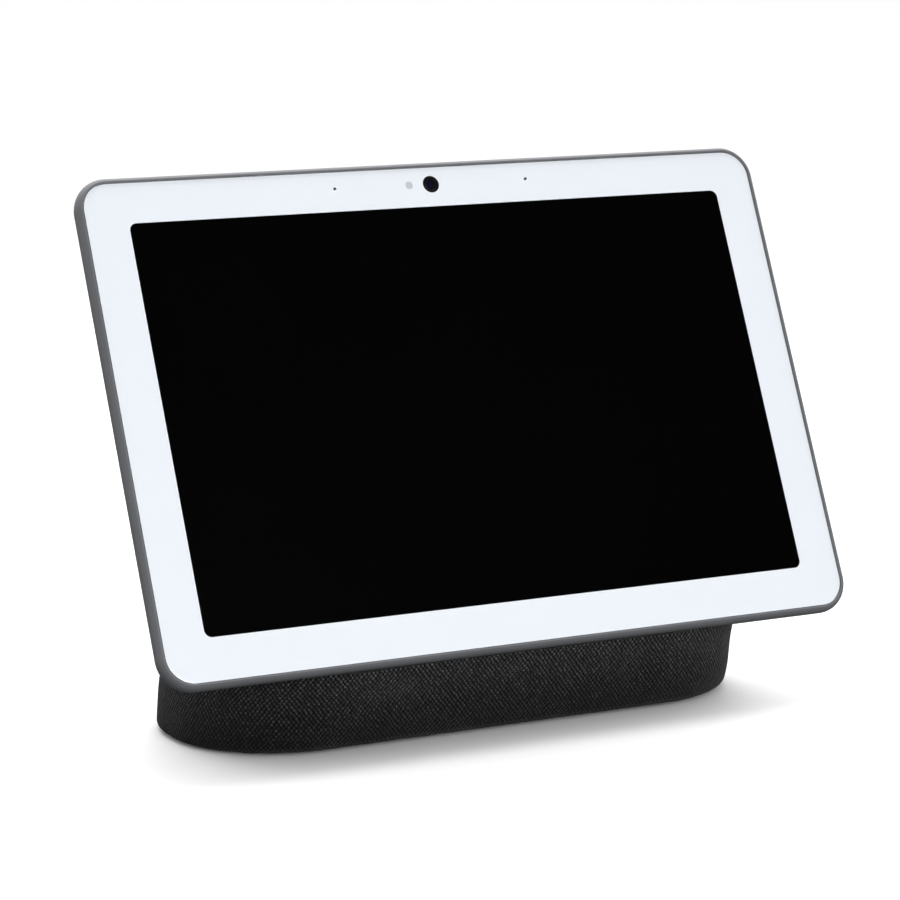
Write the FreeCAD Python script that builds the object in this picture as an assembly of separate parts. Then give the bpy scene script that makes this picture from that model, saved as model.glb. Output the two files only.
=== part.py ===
"""Smart display: a ten-inch touchscreen leaning back on a fabric-covered speaker base.

The part stands on the plane Z = 0. The origin is the middle of the bounding box's bottom: +X is the
viewer's right, -Y faces the viewer and +Z is up. The display's pieces are drawn flat, with the glass's
front at depth 0, and are then leaned back together. Millimetres.
"""

import FreeCAD, Part
import math
import os

from FreeCAD import Placement, Rotation, Vector

# Overall size, which places the display over the base.
OVERALL_DEPTH = 101.2
OVERALL_HEIGHT = 182.6
TILT = 24.0

# Touchscreen: the lit area, the glass around it and the rim around the glass.
SCREEN_W, SCREEN_H, SCREEN_CORNER = 216.96, 135.6, 2.5
GLASS_W, GLASS_H, GLASS_CORNER = 245.4, 163.3, 9.0
GLASS_T = 0.8
PRINT_T = 0.13
RIM_OUT, RIM_DEPTH = 2.15, 3.1
LIP_OUT, LIP_DROP = 0.75, 0.15
DISPLAY_T = 11.0
HOUSING_FLOOR = 1.6
FLOOR_INSIDE = DISPLAY_T - HOUSING_FLOOR
# How far the housing's outline stands outside the glass, from its lip to its flat back.
HOUSING_PROFILE = [
    (LIP_DROP, LIP_OUT),
    (0.9, 1.5),
    (RIM_DEPTH, RIM_OUT),
    (6.0, 1.4),
    (9.0, -2.2),
    (10.6, -8.0),
    (DISPLAY_T, -13.0),
]

# Front sensors, all on one line near the glass's top edge.
SENSOR_LINE = 75.56
CAMERA_HOLE_R = 2.95
LED_X, LED_HOLE_R = -8.05, 1.3
MIC_X, MIC_HOLE_R = 35.3, 0.5

# Speaker base: height, front, back and half width of its outline, whose corners are BASE_CORNER of
# its half depth. Above the display's lower edge the front runs inside the display and is trimmed off.
BASE_BOTTOM = 0.6
BASE_CORNER = 0.938
BASE_PROFILE = [
    (BASE_BOTTOM, -33.3, 50.3, 101.5),
    (8.0, -37.7, OVERALL_DEPTH / 2, 101.6),
    (18.0, -41.8, 50.5, 101.1),
    (29.0, -47.5, 47.3, 99.8),
    (46.0, -50.0, 40.9, 97.6),
    (66.0, -50.0, 33.3, 95.0),
    (86.0, -50.0, 25.2, 91.8),
    (100.0, -50.0, 19.3, 88.6),
    (111.0, -50.0, 14.0, 85.4),
    (117.5, -50.0, 8.4, 82.4),
    (121.5, -50.0, 1.0, 79.0),
    (123.5, -50.0, -7.0, 75.5),
]
BOTTOM_ROUND = 2.6
FABRIC_T = 0.9
SHELL_GAP = 1.0
SHELL_WALL = 2.4
SHELL_BOTTOM = 1.6
DISPLAY_GAP = 0.3
HEM = 9.0
FLOOR_T = 2.5
FOOT_RECESS = 0.8

# Loudspeakers: where each seat is and which way it faces, in degrees about X.
WOOFER_SEAT, WOOFER_TURN = Vector(0, 28.9, 61.0), -68.4
WOOFER_OPEN_R, WOOFER_FLANGE_R = 32.0, 39.8
TWEETER_SEAT, TWEETER_TURN = Vector(62, -33.6, 18.6), 118.0
TWEETER_OPEN_R, TWEETER_FLANGE_R = 9.0, 10.4

# Sockets in the back of the base.
PORT_Z = 14.5
PORT_FACE_Y = 50.2
PORT_W, PORT_H = 30.0, 13.0
DC_X, DC_HOLE_R, DC_PIN_R = -6.5, 2.8, 1.0
DC_WELL_R = 4.6
USB_X = 7.5
PLATE_STEP_Y = 46.4
POWER_BOARD_Z = (8.3, 9.5)

# Controls on the display's back.
ROCKER_X, ROCKER_V = 98.0, 33.0
ROCKER_W, ROCKER_L = 5.0, 27.0
ROCKER_PIVOT_DEPTH = 8.5
ROCKER_GAP = 0.35
ROCKER_PIN_R = 0.75
RUN = 0.05
SLIDER_V = 58.0
SLIDER_TRAVEL = 3.6
KNOB_W, KNOB_H = 6.6, 4.2

SCREW_R = 1.0
SIN, COS = math.sin(math.radians(TILT)), math.cos(math.radians(TILT))
# The glass's middle, from the overall height and depth.
TOP_DEPTH, TOP_OUT = HOUSING_PROFILE[1]
DISPLAY_Z = OVERALL_HEIGHT - (GLASS_H / 2 + TOP_OUT) * COS + TOP_DEPTH * SIN
DISPLAY_Y = -OVERALL_DEPTH / 2 + (GLASS_H / 2 + LIP_OUT) * SIN - LIP_DROP * COS

X, Y, Z = Vector(1, 0, 0), Vector(0, 1, 0), Vector(0, 0, 1)


# Shapes ------------------------------------------------------------------------------------------


def rounded(half_w, half_h, r, at=0.0, x=0.0, y=0.0):
    """A rounded rectangle's wire, in the plane Z = at."""
    s = r * (1 - math.sqrt(0.5))
    corners = []
    for sx, sy in ((1, 1), (-1, 1), (-1, -1), (1, -1)):
        start = Vector(x + sx * half_w, y + sy * (half_h - r), at)
        end = Vector(x + sx * (half_w - r), y + sy * half_h, at)
        mid = Vector(x + sx * (half_w - s), y + sy * (half_h - s), at)
        corners.append((start, mid, end) if sx * sy > 0 else (end, mid, start))
    edges = []
    for i, (start, mid, end) in enumerate(corners):
        edges.append(Part.Arc(start, mid, end).toShape())
        edges.append(Part.LineSegment(end, corners[(i + 1) % 4][0]).toShape())
    return Part.Wire(edges)


def slab(half_w, half_h, r, front, back, x=0.0, y=0.0):
    """A rounded plate between two depths behind the glass's front."""
    wire = rounded(half_w, half_h, r, -back, x, y)
    return Part.Face(wire).extrude(Vector(0, 0, back - front))


def block(x0, x1, y0, y1, z0, z1):
    return Part.makeBox(x1 - x0, y1 - y0, z1 - z0, Vector(x0, y0, z0))


def plate(x0, x1, v0, v1, front, back):
    """A square-cornered plate between two depths behind the glass's front."""
    return block(x0, x1, v0, v1, -back, -front)


def rod(r, x, v, front, back):
    """A round rod between two depths behind the glass's front."""
    return Part.makeCylinder(r, back - front, Vector(x, v, -back), Z)


def tube(r_out, r_in, z0, z1):
    outer = Part.makeCylinder(r_out, z1 - z0, Vector(0, 0, z0), Z)
    return outer.cut(Part.makeCylinder(r_in, z1 - z0, Vector(0, 0, z0), Z))


def turned(points):
    """A solid turned about Z from its half section, as (radius, height) points."""
    corners = [Vector(r, 0, z) for r, z in points]
    face = Part.Face(Part.makePolygon(corners + corners[:1]))
    return face.revolve(Vector(0, 0, 0), Z, 360)


def ribbon(points, thickness):
    """The half section of a thin turned sheet: its middle line, thickened along Z."""
    half = thickness / 2
    return [(r, z - half) for r, z in points] + [(r, z + half) for r, z in reversed(points)]


def cable(points, r, bend):
    """A round cable along straight runs joined by tangent arcs."""
    edges, last = [], points[0]
    for before, corner, after in zip(points, points[1:], points[2:]):
        a = (before - corner).normalize()
        b = (after - corner).normalize()
        half = a.getAngle(b) / 2
        cut = bend / math.tan(half)
        start, end = corner + a * cut, corner + b * cut
        middle = (a + b).normalize()
        top = corner + middle * (bend / math.sin(half) - bend)
        edges.append(Part.LineSegment(last, start).toShape())
        edges.append(Part.Arc(start, top, end).toShape())
        last = end
    edges.append(Part.LineSegment(last, points[-1]).toShape())
    path = Part.Wire(edges)
    ring = Part.Wire(Part.makeCircle(r, points[0], points[1] - points[0]))
    return path.makePipeShell([ring], True, False)


def strip(points, half_w, thickness):
    """A flat flexible cable across X, along straight runs."""
    parts = []
    for start, end in zip(points, points[1:]):
        run = end - start
        flat = block(-half_w, half_w, -thickness / 2, thickness / 2, 0, run.Length)
        turn = math.degrees(math.atan2(-run.y, run.z))
        parts.append(placed(flat, start, turn))
    for corner in points[1:-1]:
        parts.append(Part.makeCylinder(thickness / 2, 2 * half_w, corner - X * half_w, X))
    return fuse(parts)


def fuse(shapes):
    return shapes[0].multiFuse(shapes[1:]).removeSplitter()


def placed(shape, at, turn):
    moved = shape.copy()
    moved.Placement = Placement(at, Rotation(X, turn)).multiply(shape.Placement)
    return moved


def leaned(shape):
    """A display piece, moved from the flat to where the display leans."""
    return placed(shape, Vector(0, DISPLAY_Y, DISPLAY_Z), 90 - TILT)


def display_point(x, v, depth):
    """Where a point of the flat display is once the display leans."""
    return Vector(x, DISPLAY_Y + v * SIN + depth * COS, DISPLAY_Z + v * COS - depth * SIN)


def mirrored(shape):
    return shape.mirror(Vector(0, 0, 0), X)


# Forms that several pieces share -----------------------------------------------------------------


def housing_form(grow=0.0):
    """The display's outside, with every section standing out by grow."""
    wires = []
    for depth, out in HOUSING_PROFILE:
        corner = GLASS_CORNER + (out if out > 0 else out * 0.25) + grow
        at = -depth - (grow if depth == DISPLAY_T else 0)
        wires.append(rounded(GLASS_W / 2 + out + grow, GLASS_H / 2 + out + grow, corner, at))
    return Part.makeLoft(wires, True, False)


def display_space(gap):
    """The room that the display takes, with a gap round it, and all that is in front of it."""
    _, out = HOUSING_PROFILE[2]
    wire = rounded(
        GLASS_W / 2 + out + gap, GLASS_H / 2 + out + gap, GLASS_CORNER + out + gap, -RIM_DEPTH
    )
    ahead = Part.Face(wire).extrude(Vector(0, 0, 60))
    return leaned(fuse([housing_form(gap), ahead]))


def base_outline(front, back, half_w, at):
    """One level of the base: a rounded rectangle whose ends are almost half circles."""
    half_d = (back - front) / 2
    return rounded(half_w, half_d, BASE_CORNER * half_d, at, 0, (front + back) / 2)


def base_form(inset=0.0, bottom=BASE_BOTTOM):
    """The base before the display is trimmed out of it, drawn in by inset."""
    wires = []
    for z, front, back, half_w in BASE_PROFILE:
        at = bottom if z == BASE_BOTTOM else z
        wires.append(base_outline(front + inset, back - inset, half_w - inset, at))
    return Part.makeLoft(wires, True, False)


def base_slice(inset, z0, z1):
    """An upright plate with the base's bottom outline."""
    _, front, back, half_w = BASE_PROFILE[0]
    wire = base_outline(front + inset, back - inset, half_w - inset, z0)
    return Part.Face(wire).extrude(Vector(0, 0, z1 - z0))


def port_pill(grow, y0, y1):
    """The rounded outline of the socket plate, as a solid between two depths along Y."""
    wire = rounded(PORT_W / 2 + grow, PORT_H / 2 + grow, PORT_H / 2 + grow - 0.01)
    solid = Part.Face(wire).extrude(Vector(0, 0, y1 - y0))
    return placed(solid, Vector(0, y1, PORT_Z), 90)


def sensor_holes(camera_r, led_r, mic_r, front, back):
    holes = [rod(camera_r, 0, SENSOR_LINE, front, back), rod(led_r, LED_X, SENSOR_LINE, front, back)]
    holes += [rod(mic_r, side * MIC_X, SENSOR_LINE, front, back) for side in (-1, 1)]
    return holes


# Places that repeat: board screws, bracket screws and base screws.
BOARD_CENTRE, BOARD_HALF = (-8.0, 12.0), (64.0, 24.0)
BOARD_FRONT, BOARD_BACK = 6.9, 7.9
BOARD_SCREWS = [
    (BOARD_CENTRE[0] + sx * (BOARD_HALF[0] - 4), BOARD_CENTRE[1] + sy * (BOARD_HALF[1] - 4))
    for sx in (-1, 1)
    for sy in (-1, 1)
]
BRACKET_V, BRACKET_HALF = -42.0, (62.0, 19.0)
BRACKET_SCREWS = [(sx * 52.0, BRACKET_V + sy * 12.0) for sx in (-1, 1) for sy in (-1, 1)]
BRACKET_FRONT = DISPLAY_T + DISPLAY_GAP + SHELL_WALL + 0.2
BRACKET_BACK = BRACKET_FRONT + 1.5
CABLE_SLOT = (14.0, 3.0)
BASE_SCREWS = [(sx * px, py) for sx in (-1, 1) for px, py in ((40.0, -23.4), (90.0, 9.0), (56.0, 40.0))]
POWER_SCREWS = [(sx * 33.0, py) for sx in (-1, 1) for py in (-12.0, 38.0)]
WOOFER_ANGLES = [math.radians(45 + 90 * k) for k in range(4)]
WOOFER_SCREWS = [(37.0 * math.cos(a), 37.0 * math.sin(a)) for a in WOOFER_ANGLES]


# The display -------------------------------------------------------------------------------------


def cover_glass():
    glass = slab(GLASS_W / 2, GLASS_H / 2, GLASS_CORNER, 0, GLASS_T)
    front = [e for e in glass.Edges if all(abs(v.Z) < 1e-6 for v in e.Vertexes)]
    glass = glass.makeChamfer(0.25, front)
    return glass.cut(fuse([rod(MIC_HOLE_R, s * MIC_X, SENSOR_LINE, -1, 2) for s in (-1, 1)]))


def bezel_print():
    front, back = GLASS_T + 0.02, GLASS_T + 0.02 + PRINT_T
    sheet = slab(GLASS_W / 2 - 0.3, GLASS_H / 2 - 0.3, GLASS_CORNER - 0.3, front, back)
    window = slab(SCREEN_W / 2, SCREEN_H / 2, SCREEN_CORNER, 0, 2)
    holes = sensor_holes(CAMERA_HOLE_R, LED_HOLE_R, MIC_HOLE_R, 0, 2)
    return sheet.cut(fuse([window] + holes))


def panel_tape():
    ring = slab(121.0, 80.0, 7.6, 0.97, 1.2).cut(slab(114.2, 73.8, 2.0, 0, 2))
    return ring.cut(fuse(sensor_holes(3.3, 1.5, 1.3, 0, 2)))


def mid_frame():
    ring = slab(121.2, 80.2, 7.8, 1.22, 4.5).cut(slab(113.8, 73.4, 2.0, 0, 6))
    pockets = [plate(s * MIC_X - 2.2, s * MIC_X + 2.2, 73.6, 77.4, 3.2, 5) for s in (-1, 1)]
    pockets.append(plate(LED_X - 1.2, LED_X + 1.2, SENSOR_LINE - 1.2, SENSOR_LINE + 1.2, 3.85, 5))
    return ring.cut(fuse(sensor_holes(3.3, 1.35, 1.2, 0, 6) + pockets))


def backlight_tray():
    return slab(113.0, 72.6, 1.5, 2.2, 5.2).cut(slab(112.5, 72.1, 1.0, 0, 4.8))


def heat_spreader():
    sheet = slab(88.0, 54.0, 3.0, 5.35, 6.15)
    return sheet.cut(fuse([rod(3.4, x, v, 5, 7) for x, v in BRACKET_SCREWS]))


def camera_ring():
    front = GLASS_T + 0.02
    return rod(2.9, 0, SENSOR_LINE, front, 1.3).cut(rod(1.55, 0, SENSOR_LINE, 0, 2))


def camera_barrel():
    return rod(2.7, 0, SENSOR_LINE, 1.35, 4.7).cut(rod(1.6, 0, SENSOR_LINE, 0, 2.6))


def camera_lens():
    ball = Part.makeSphere(2.4, Vector(0, SENSOR_LINE, -1.45 - 2.4))
    return ball.common(rod(1.5, 0, SENSOR_LINE, 1.2, 2.55))


def sensor_board():
    return plate(-42, 42, 73.0, 79.3, 4.75, 5.55)


def microphones():
    half = 1.8
    places = [side * MIC_X for side in (-1, 1)]
    return Part.makeCompound([plate(x - half, x + half, 73.9, 77.1, 3.6, 4.73) for x in places])


def mic_seals():
    seals = []
    for s in (-1, 1):
        outer = rod(1.15, s * MIC_X, SENSOR_LINE, 1.0, 3.55)
        seals.append(outer.cut(rod(MIC_HOLE_R, s * MIC_X, SENSOR_LINE, 0, 5)))
    return Part.makeCompound(seals)


def light_pipe():
    return rod(1.25, LED_X, SENSOR_LINE, GLASS_T + 0.02, 3.8)


def status_led():
    return plate(LED_X - 0.8, LED_X + 0.8, SENSOR_LINE - 0.8, SENSOR_LINE + 0.8, 3.95, 4.73)


def housing_cavity():
    pocket = slab(GLASS_W / 2 + 0.15, GLASS_H / 2 + 0.15, GLASS_CORNER + 0.15, -1, 1.3)
    wide = slab(121.4, 80.4, 8.0, 0, 6.0)
    deep = slab(116.5, 75.5, 6.0, 0, FLOOR_INSIDE)
    return fuse([pocket, wide, deep])


def rocker_ears():
    """Two ears inside the housing that hold the volume rocker's pin."""
    places = [ROCKER_X + side * 3.9 for side in (-1, 1)]
    ears = [plate(x - 0.8, x + 0.8, ROCKER_V - 2, ROCKER_V + 2, 7.0, FLOOR_INSIDE) for x in places]
    hole = Part.makeCylinder(
        ROCKER_PIN_R + 0.02, 12, Vector(ROCKER_X - 6, ROCKER_V, -ROCKER_PIVOT_DEPTH), X
    )
    return [ear.cut(hole) for ear in ears]


def display_housing():
    body = housing_form().cut(housing_cavity())
    bosses = [rod(2.6, x, v, BOARD_BACK + 0.05, FLOOR_INSIDE + 0.1) for x, v in BOARD_SCREWS]
    body = fuse([body] + bosses + rocker_ears())
    cuts = [rod(SCREW_R + 0.05, x, v, BOARD_BACK, 10.2) for x, v in BOARD_SCREWS]
    cuts += [rod(1.7, x, v, 8, 12) for x, v in BRACKET_SCREWS]
    rocker_w, rocker_l = ROCKER_W / 2 + ROCKER_GAP, ROCKER_L / 2 + ROCKER_GAP
    cuts.append(slab(rocker_w, rocker_l, rocker_w - 0.05, FLOOR_INSIDE, 12, ROCKER_X, ROCKER_V))
    knob_w = KNOB_W / 2 + SLIDER_TRAVEL / 2 + 0.2
    cuts.append(slab(knob_w, KNOB_H / 2 + 0.25, 1.4, FLOOR_INSIDE, 12, 0, SLIDER_V))
    cuts.append(slab(CABLE_SLOT[0], CABLE_SLOT[1], 2.0, 9, 12, 0, BRACKET_V))
    return body.cut(fuse(cuts))


def main_board():
    x, v = BOARD_CENTRE
    board = slab(BOARD_HALF[0], BOARD_HALF[1], 1.5, BOARD_FRONT, BOARD_BACK, x, v)
    return board.cut(fuse([rod(SCREW_R + 0.2, x, v, 6, 9) for x, v in BOARD_SCREWS]))


def board_components():
    """Chips on the board's front and connectors on its back, as (x, v, half width, half height)."""
    chips = [(-20, 14, 7.5, 7.5), (2, 16, 5, 6), (20, 10, 6, 4), (38, 14, 4, 4), (-48, 8, 4, 5)]
    plugs = [(34, 26, 5, 2.5), (46, -4, 2.5, 5), (0, -9.4, 10, 1.8), (-56, 33.0, 4, 1.6)]
    front = [plate(x - w, x + w, v - h, v + h, 6.45, BOARD_FRONT - 0.02) for x, v, w, h in chips]
    back = [plate(x - w, x + w, v - h, v + h, BOARD_BACK + 0.02, 9.0) for x, v, w, h in plugs]
    return Part.makeCompound(front + back)


def thermal_pads():
    return Part.makeCompound([plate(-26, -14, 8, 20, 6.17, 6.43), plate(-1, 5, 12, 20, 6.17, 6.43)])


def board_shields():
    cans = []
    for x0, x1 in ((-62, -18), (-14, 22)):
        can = plate(x0, x1, -6, 30, BOARD_BACK + 0.02, 9.2)
        cans.append(can.cut(plate(x0 + 0.3, x1 - 0.3, -5.7, 29.7, BOARD_BACK, 8.9)))
    return Part.makeCompound(cans)


def screw(x, v, head_front, head_r, head_t, r, back):
    """A cylinder-head screw driven from the display's front, with a hexagonal socket."""
    head = rod(head_r, x, v, head_front, head_front + head_t)
    shank = rod(r, x, v, head_front + head_t - 0.01, back)
    sides = [math.radians(60 * k) for k in range(7)]
    reach = 0.5 * head_r
    hexagon = Part.makePolygon(
        [Vector(x + reach * math.cos(a), v + reach * math.sin(a), -head_front) for a in sides]
    )
    socket = Part.Face(hexagon).extrude(Vector(0, 0, -0.6 * head_t))
    return fuse([head, shank]).cut(socket)


def board_screws():
    return Part.makeCompound([screw(x, v, 6.2, 1.9, 0.68, SCREW_R, 10.0) for x, v in BOARD_SCREWS])


def antennas():
    return Part.makeCompound([plate(s * 100 - 6, s * 100 + 6, -62, -28, 9.0, 9.3) for s in (-1, 1)])


def volume_rocker():
    top = DISPLAY_T + 1.0
    body = slab(ROCKER_W / 2, ROCKER_L / 2, 2.45, 7.9, top, ROCKER_X, ROCKER_V)
    rim = [e for e in body.Edges if all(abs(v.Z + top) < 1e-6 for v in e.Vertexes)]
    body = body.makeFillet(0.6, rim)
    bore = Part.makeCylinder(
        ROCKER_PIN_R + RUN, 12, Vector(ROCKER_X - 6, ROCKER_V, -ROCKER_PIVOT_DEPTH), X
    )
    saddle = plate(ROCKER_X - 6, ROCKER_X + 6, ROCKER_V - 1.6, ROCKER_V + 1.6, 7.0, 7.9)
    hub = plate(ROCKER_X - 2.4, ROCKER_X + 2.4, ROCKER_V - 1.6, ROCKER_V + 1.6, 7.4, 8.0)
    return fuse([body, hub.common(saddle)]).cut(bore)


def rocker_pin():
    return Part.makeCylinder(ROCKER_PIN_R, 9.2, Vector(ROCKER_X - 4.6, ROCKER_V, -ROCKER_PIVOT_DEPTH), X)


def button_boards():
    """The small boards behind the volume rocker and the mute slider."""
    volume = plate(ROCKER_X - 6.5, ROCKER_X + 6.5, ROCKER_V - 17, ROCKER_V + 17, 5.4, 6.1)
    mute = plate(-10, 10, SLIDER_V - 3.2, SLIDER_V + 4.5, 5.4, 6.2)
    return Part.makeCompound([volume, mute])


def volume_switches():
    switches = []
    for s in (-1, 1):
        v = ROCKER_V + s * 9.5
        body = plate(ROCKER_X - 2.1, ROCKER_X + 2.1, v - 2.1, v + 2.1, 6.12, 6.95)
        switches.append(fuse([body, rod(0.9, ROCKER_X, v, 6.9, 7.3)]))
    return Part.makeCompound(switches)


def mute_slider():
    rest = -SLIDER_TRAVEL / 2
    top = DISPLAY_T + 0.7
    knob = slab(KNOB_W / 2, KNOB_H / 2, 1.2, 9.2, top, rest, SLIDER_V)
    rim = [e for e in knob.Edges if all(abs(v.Z + top) < 1e-6 for v in e.Vertexes)]
    knob = knob.makeFillet(0.35, rim)
    tongue = plate(-9.3, 5.7, SLIDER_V - 3.2, SLIDER_V + 3.2, 8.55, 9.25)
    nub = plate(rest - 1, rest + 1, SLIDER_V - 0.8, SLIDER_V + 0.8, 7.5, 8.6)
    grooves = []
    for x in (rest - 1.5, rest, rest + 1.5):
        grooves.append(plate(x - 0.25, x + 0.25, SLIDER_V - 1.5, SLIDER_V + 1.5, top - 0.2, top + 1))
    return fuse([knob, tongue, nub]).cut(fuse(grooves))


def mute_flag():
    """The coloured film on the slider's tongue that shows once the slider is moved."""
    return plate(-9.0, -5.3, SLIDER_V - 2.4, SLIDER_V + 2.4, 9.27, 9.35)


def mute_switch():
    body = plate(-6, 6, SLIDER_V - 2.5, SLIDER_V + 2.5, 6.22, 8.0)
    return body.cut(plate(-3.6, 3.6, SLIDER_V - 1.0, SLIDER_V + 1.0, 7.2, 8.2))


def signal_flex():
    """The flat cable from the main board, through the base's wall, down to the power board."""
    points = [
        display_point(0, -11.6, 8.65),
        display_point(0, BRACKET_V, 8.65),
        display_point(0, BRACKET_V, 17.0),
        Vector(0, -17.0, 45.0),
        Vector(0, -14.0, POWER_BOARD_Z[1] + 0.1),
    ]
    return strip(points, 9.0, 0.3)


def display_bracket():
    sheet = slab(BRACKET_HALF[0], BRACKET_HALF[1], 3.0, BRACKET_FRONT, BRACKET_BACK, 0, BRACKET_V)
    holes = [rod(1.6, x, v, 10, 20) for x, v in BRACKET_SCREWS]
    holes.append(slab(CABLE_SLOT[0], CABLE_SLOT[1], 2.0, 10, 20, 0, BRACKET_V))
    return sheet.cut(fuse(holes))


def bracket_screws():
    return Part.makeCompound([screw(x, v, 7.3, 2.7, 2.0, 1.5, 18.0) for x, v in BRACKET_SCREWS])


# The loudspeakers, drawn facing +Z with the seat at height 0 --------------------------------------


def woofer_gasket():
    ring = tube(WOOFER_FLANGE_R - 0.1, 32.6, -0.95, -0.05)
    return ring.cut(fuse([Part.makeCylinder(1.5, 5, Vector(x, y, -3), Z) for x, y in WOOFER_SCREWS]))


def woofer_basket():
    r = WOOFER_FLANGE_R
    flange = turned([(r, -1), (r, -3), (32.5, -3), (32.5, -1)])
    bowl = turned([
        (33.8, -2.5), (33.8, -7.5), (21, -17), (21, -19),
        (15, -19), (15, -17.5), (19.6, -17.5), (32.5, -6.6), (32.5, -2.5),
    ])
    windows = []
    for k in range(6):
        window = block(18, 40, -7.5, 7.5, -15, -7.0)
        window.rotate(Vector(0, 0, 0), Z, 30 + 60 * k)
        windows.append(window)
    holes = [Part.makeCylinder(1.5, 5, Vector(x, y, -5), Z) for x, y in WOOFER_SCREWS]
    return fuse([bowl.cut(fuse(windows)), flange]).cut(fuse(holes))


def woofer_top_plate():
    return tube(22, 13.4, -23.0, -19.05)


def woofer_magnet():
    return tube(24.5, 15.5, -31.0, -23.05)


def woofer_yoke():
    return turned([(0, -35), (22, -35), (22, -31.05), (12, -31.05), (12, -19), (0, -19)])


def woofer_coil():
    return tube(12.9, 12.35, -26, -11.3)


def woofer_cone():
    return turned([(12.95, -12.0), (27.4, -4.0), (27.4, -3.3), (12.95, -11.2)])


def woofer_dust_cap():
    outer = Part.makeSphere(24.0, Vector(0, 0, -29.6))
    inner = Part.makeSphere(23.5, Vector(0, 0, -29.6))
    keep = Part.makeCylinder(14.6, 10, Vector(0, 0, -10.15), Z)
    return outer.cut(inner).common(keep)


def woofer_surround():
    centre = Vector(0, 0, -3.2)
    roll = Part.makeTorus(30.0, 2.35, centre, Z).cut(Part.makeTorus(30.0, 1.85, centre, Z))
    return roll.common(Part.makeCylinder(34, 4, centre, Z))


def woofer_spider():
    """The ribbed cloth ring, low enough that the cone's full travel stays clear of it."""
    level = -15.2
    points = [(13.0, level)]
    points += [(14.0 + k, level + (0.5 if k % 2 else -0.5)) for k in range(8)]
    points.append((22.0, level))
    return turned(ribbon(points, 0.35))


def woofer_screws():
    screws = []
    for x, y in WOOFER_SCREWS:
        head = Part.makeCylinder(2.5, 1.6, Vector(x, y, -4.65), Z)
        shank = Part.makeCylinder(1.2, 6.2, Vector(x, y, -3.1), Z)
        screws.append(fuse([head, shank]))
    return Part.makeCompound(screws)


def tweeter_frame():
    ring = tube(TWEETER_FLANGE_R, 7.9, -1.6, -0.05)
    return fuse([ring, tube(8.8, 7.9, -5.0, -1.5)])


def tweeter_motor():
    cup = turned([(0, -12), (8.6, -12), (8.6, -5.05), (7.2, -5.05), (7.2, -10.5), (0, -10.5)])
    core = Part.makeCylinder(6.2, 3.9, Vector(0, 0, -10.5), Z)
    return fuse([cup, core])


def tweeter_dome():
    """A soft dome with its voice coil."""
    centre = Vector(0, 0, -7.2)
    cap = Part.makeSphere(8.5, centre).cut(Part.makeSphere(8.2, centre))
    cap = cap.common(Part.makeCylinder(7.5, 8, Vector(0, 0, -3.2), Z))
    return fuse([cap, tube(6.9, 6.6, -7.4, -2.6)])


# The base ----------------------------------------------------------------------------------------


def speaker_bars():
    """Guard bars left across the woofer's opening."""
    bars = [block(-1.2, 1.2, -40, 40, -2, 40), tube(17.2, 14.8, -2, 40)]
    for k in (1, 2):
        bar = block(-1.2, 1.2, -40, 40, -2, 40)
        bar.rotate(Vector(0, 0, 0), Z, 60 * k)
        bars.append(bar)
    return fuse(bars)


def fabric_sleeve():
    outer = base_form()
    bottom = [e for e in outer.Edges if all(abs(v.Z - BASE_BOTTOM) < 1e-6 for v in e.Vertexes)]
    outer = outer.makeFillet(BOTTOM_ROUND, bottom)
    inner = base_form(FABRIC_T, BASE_BOTTOM + FABRIC_T)
    body = outer.cut(inner).cut(base_slice(HEM + 1.0, 0, 3))
    body = body.cut(display_space(DISPLAY_GAP))
    return body.cut(port_pill(0.2, 40, 60))


def screw_post(x, y):
    """A post inside the shell for a base screw, with a rib that ties it to the nearest wall."""
    z0, z1 = SHELL_BOTTOM + FLOOR_T + 0.3, 14.6
    post = Part.makeCylinder(3.6, z1 - z0, Vector(x, y, z0), Z)
    if abs(x) > 80:
        rib = block(min(x, 3 * x), max(x, 3 * x), y - 1, y + 1, z0, z1)
    else:
        rib = block(x - 1, x + 1, min(y, 3 * y), max(y, 3 * y), z0, z1)
    return fuse([post, rib])


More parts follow.
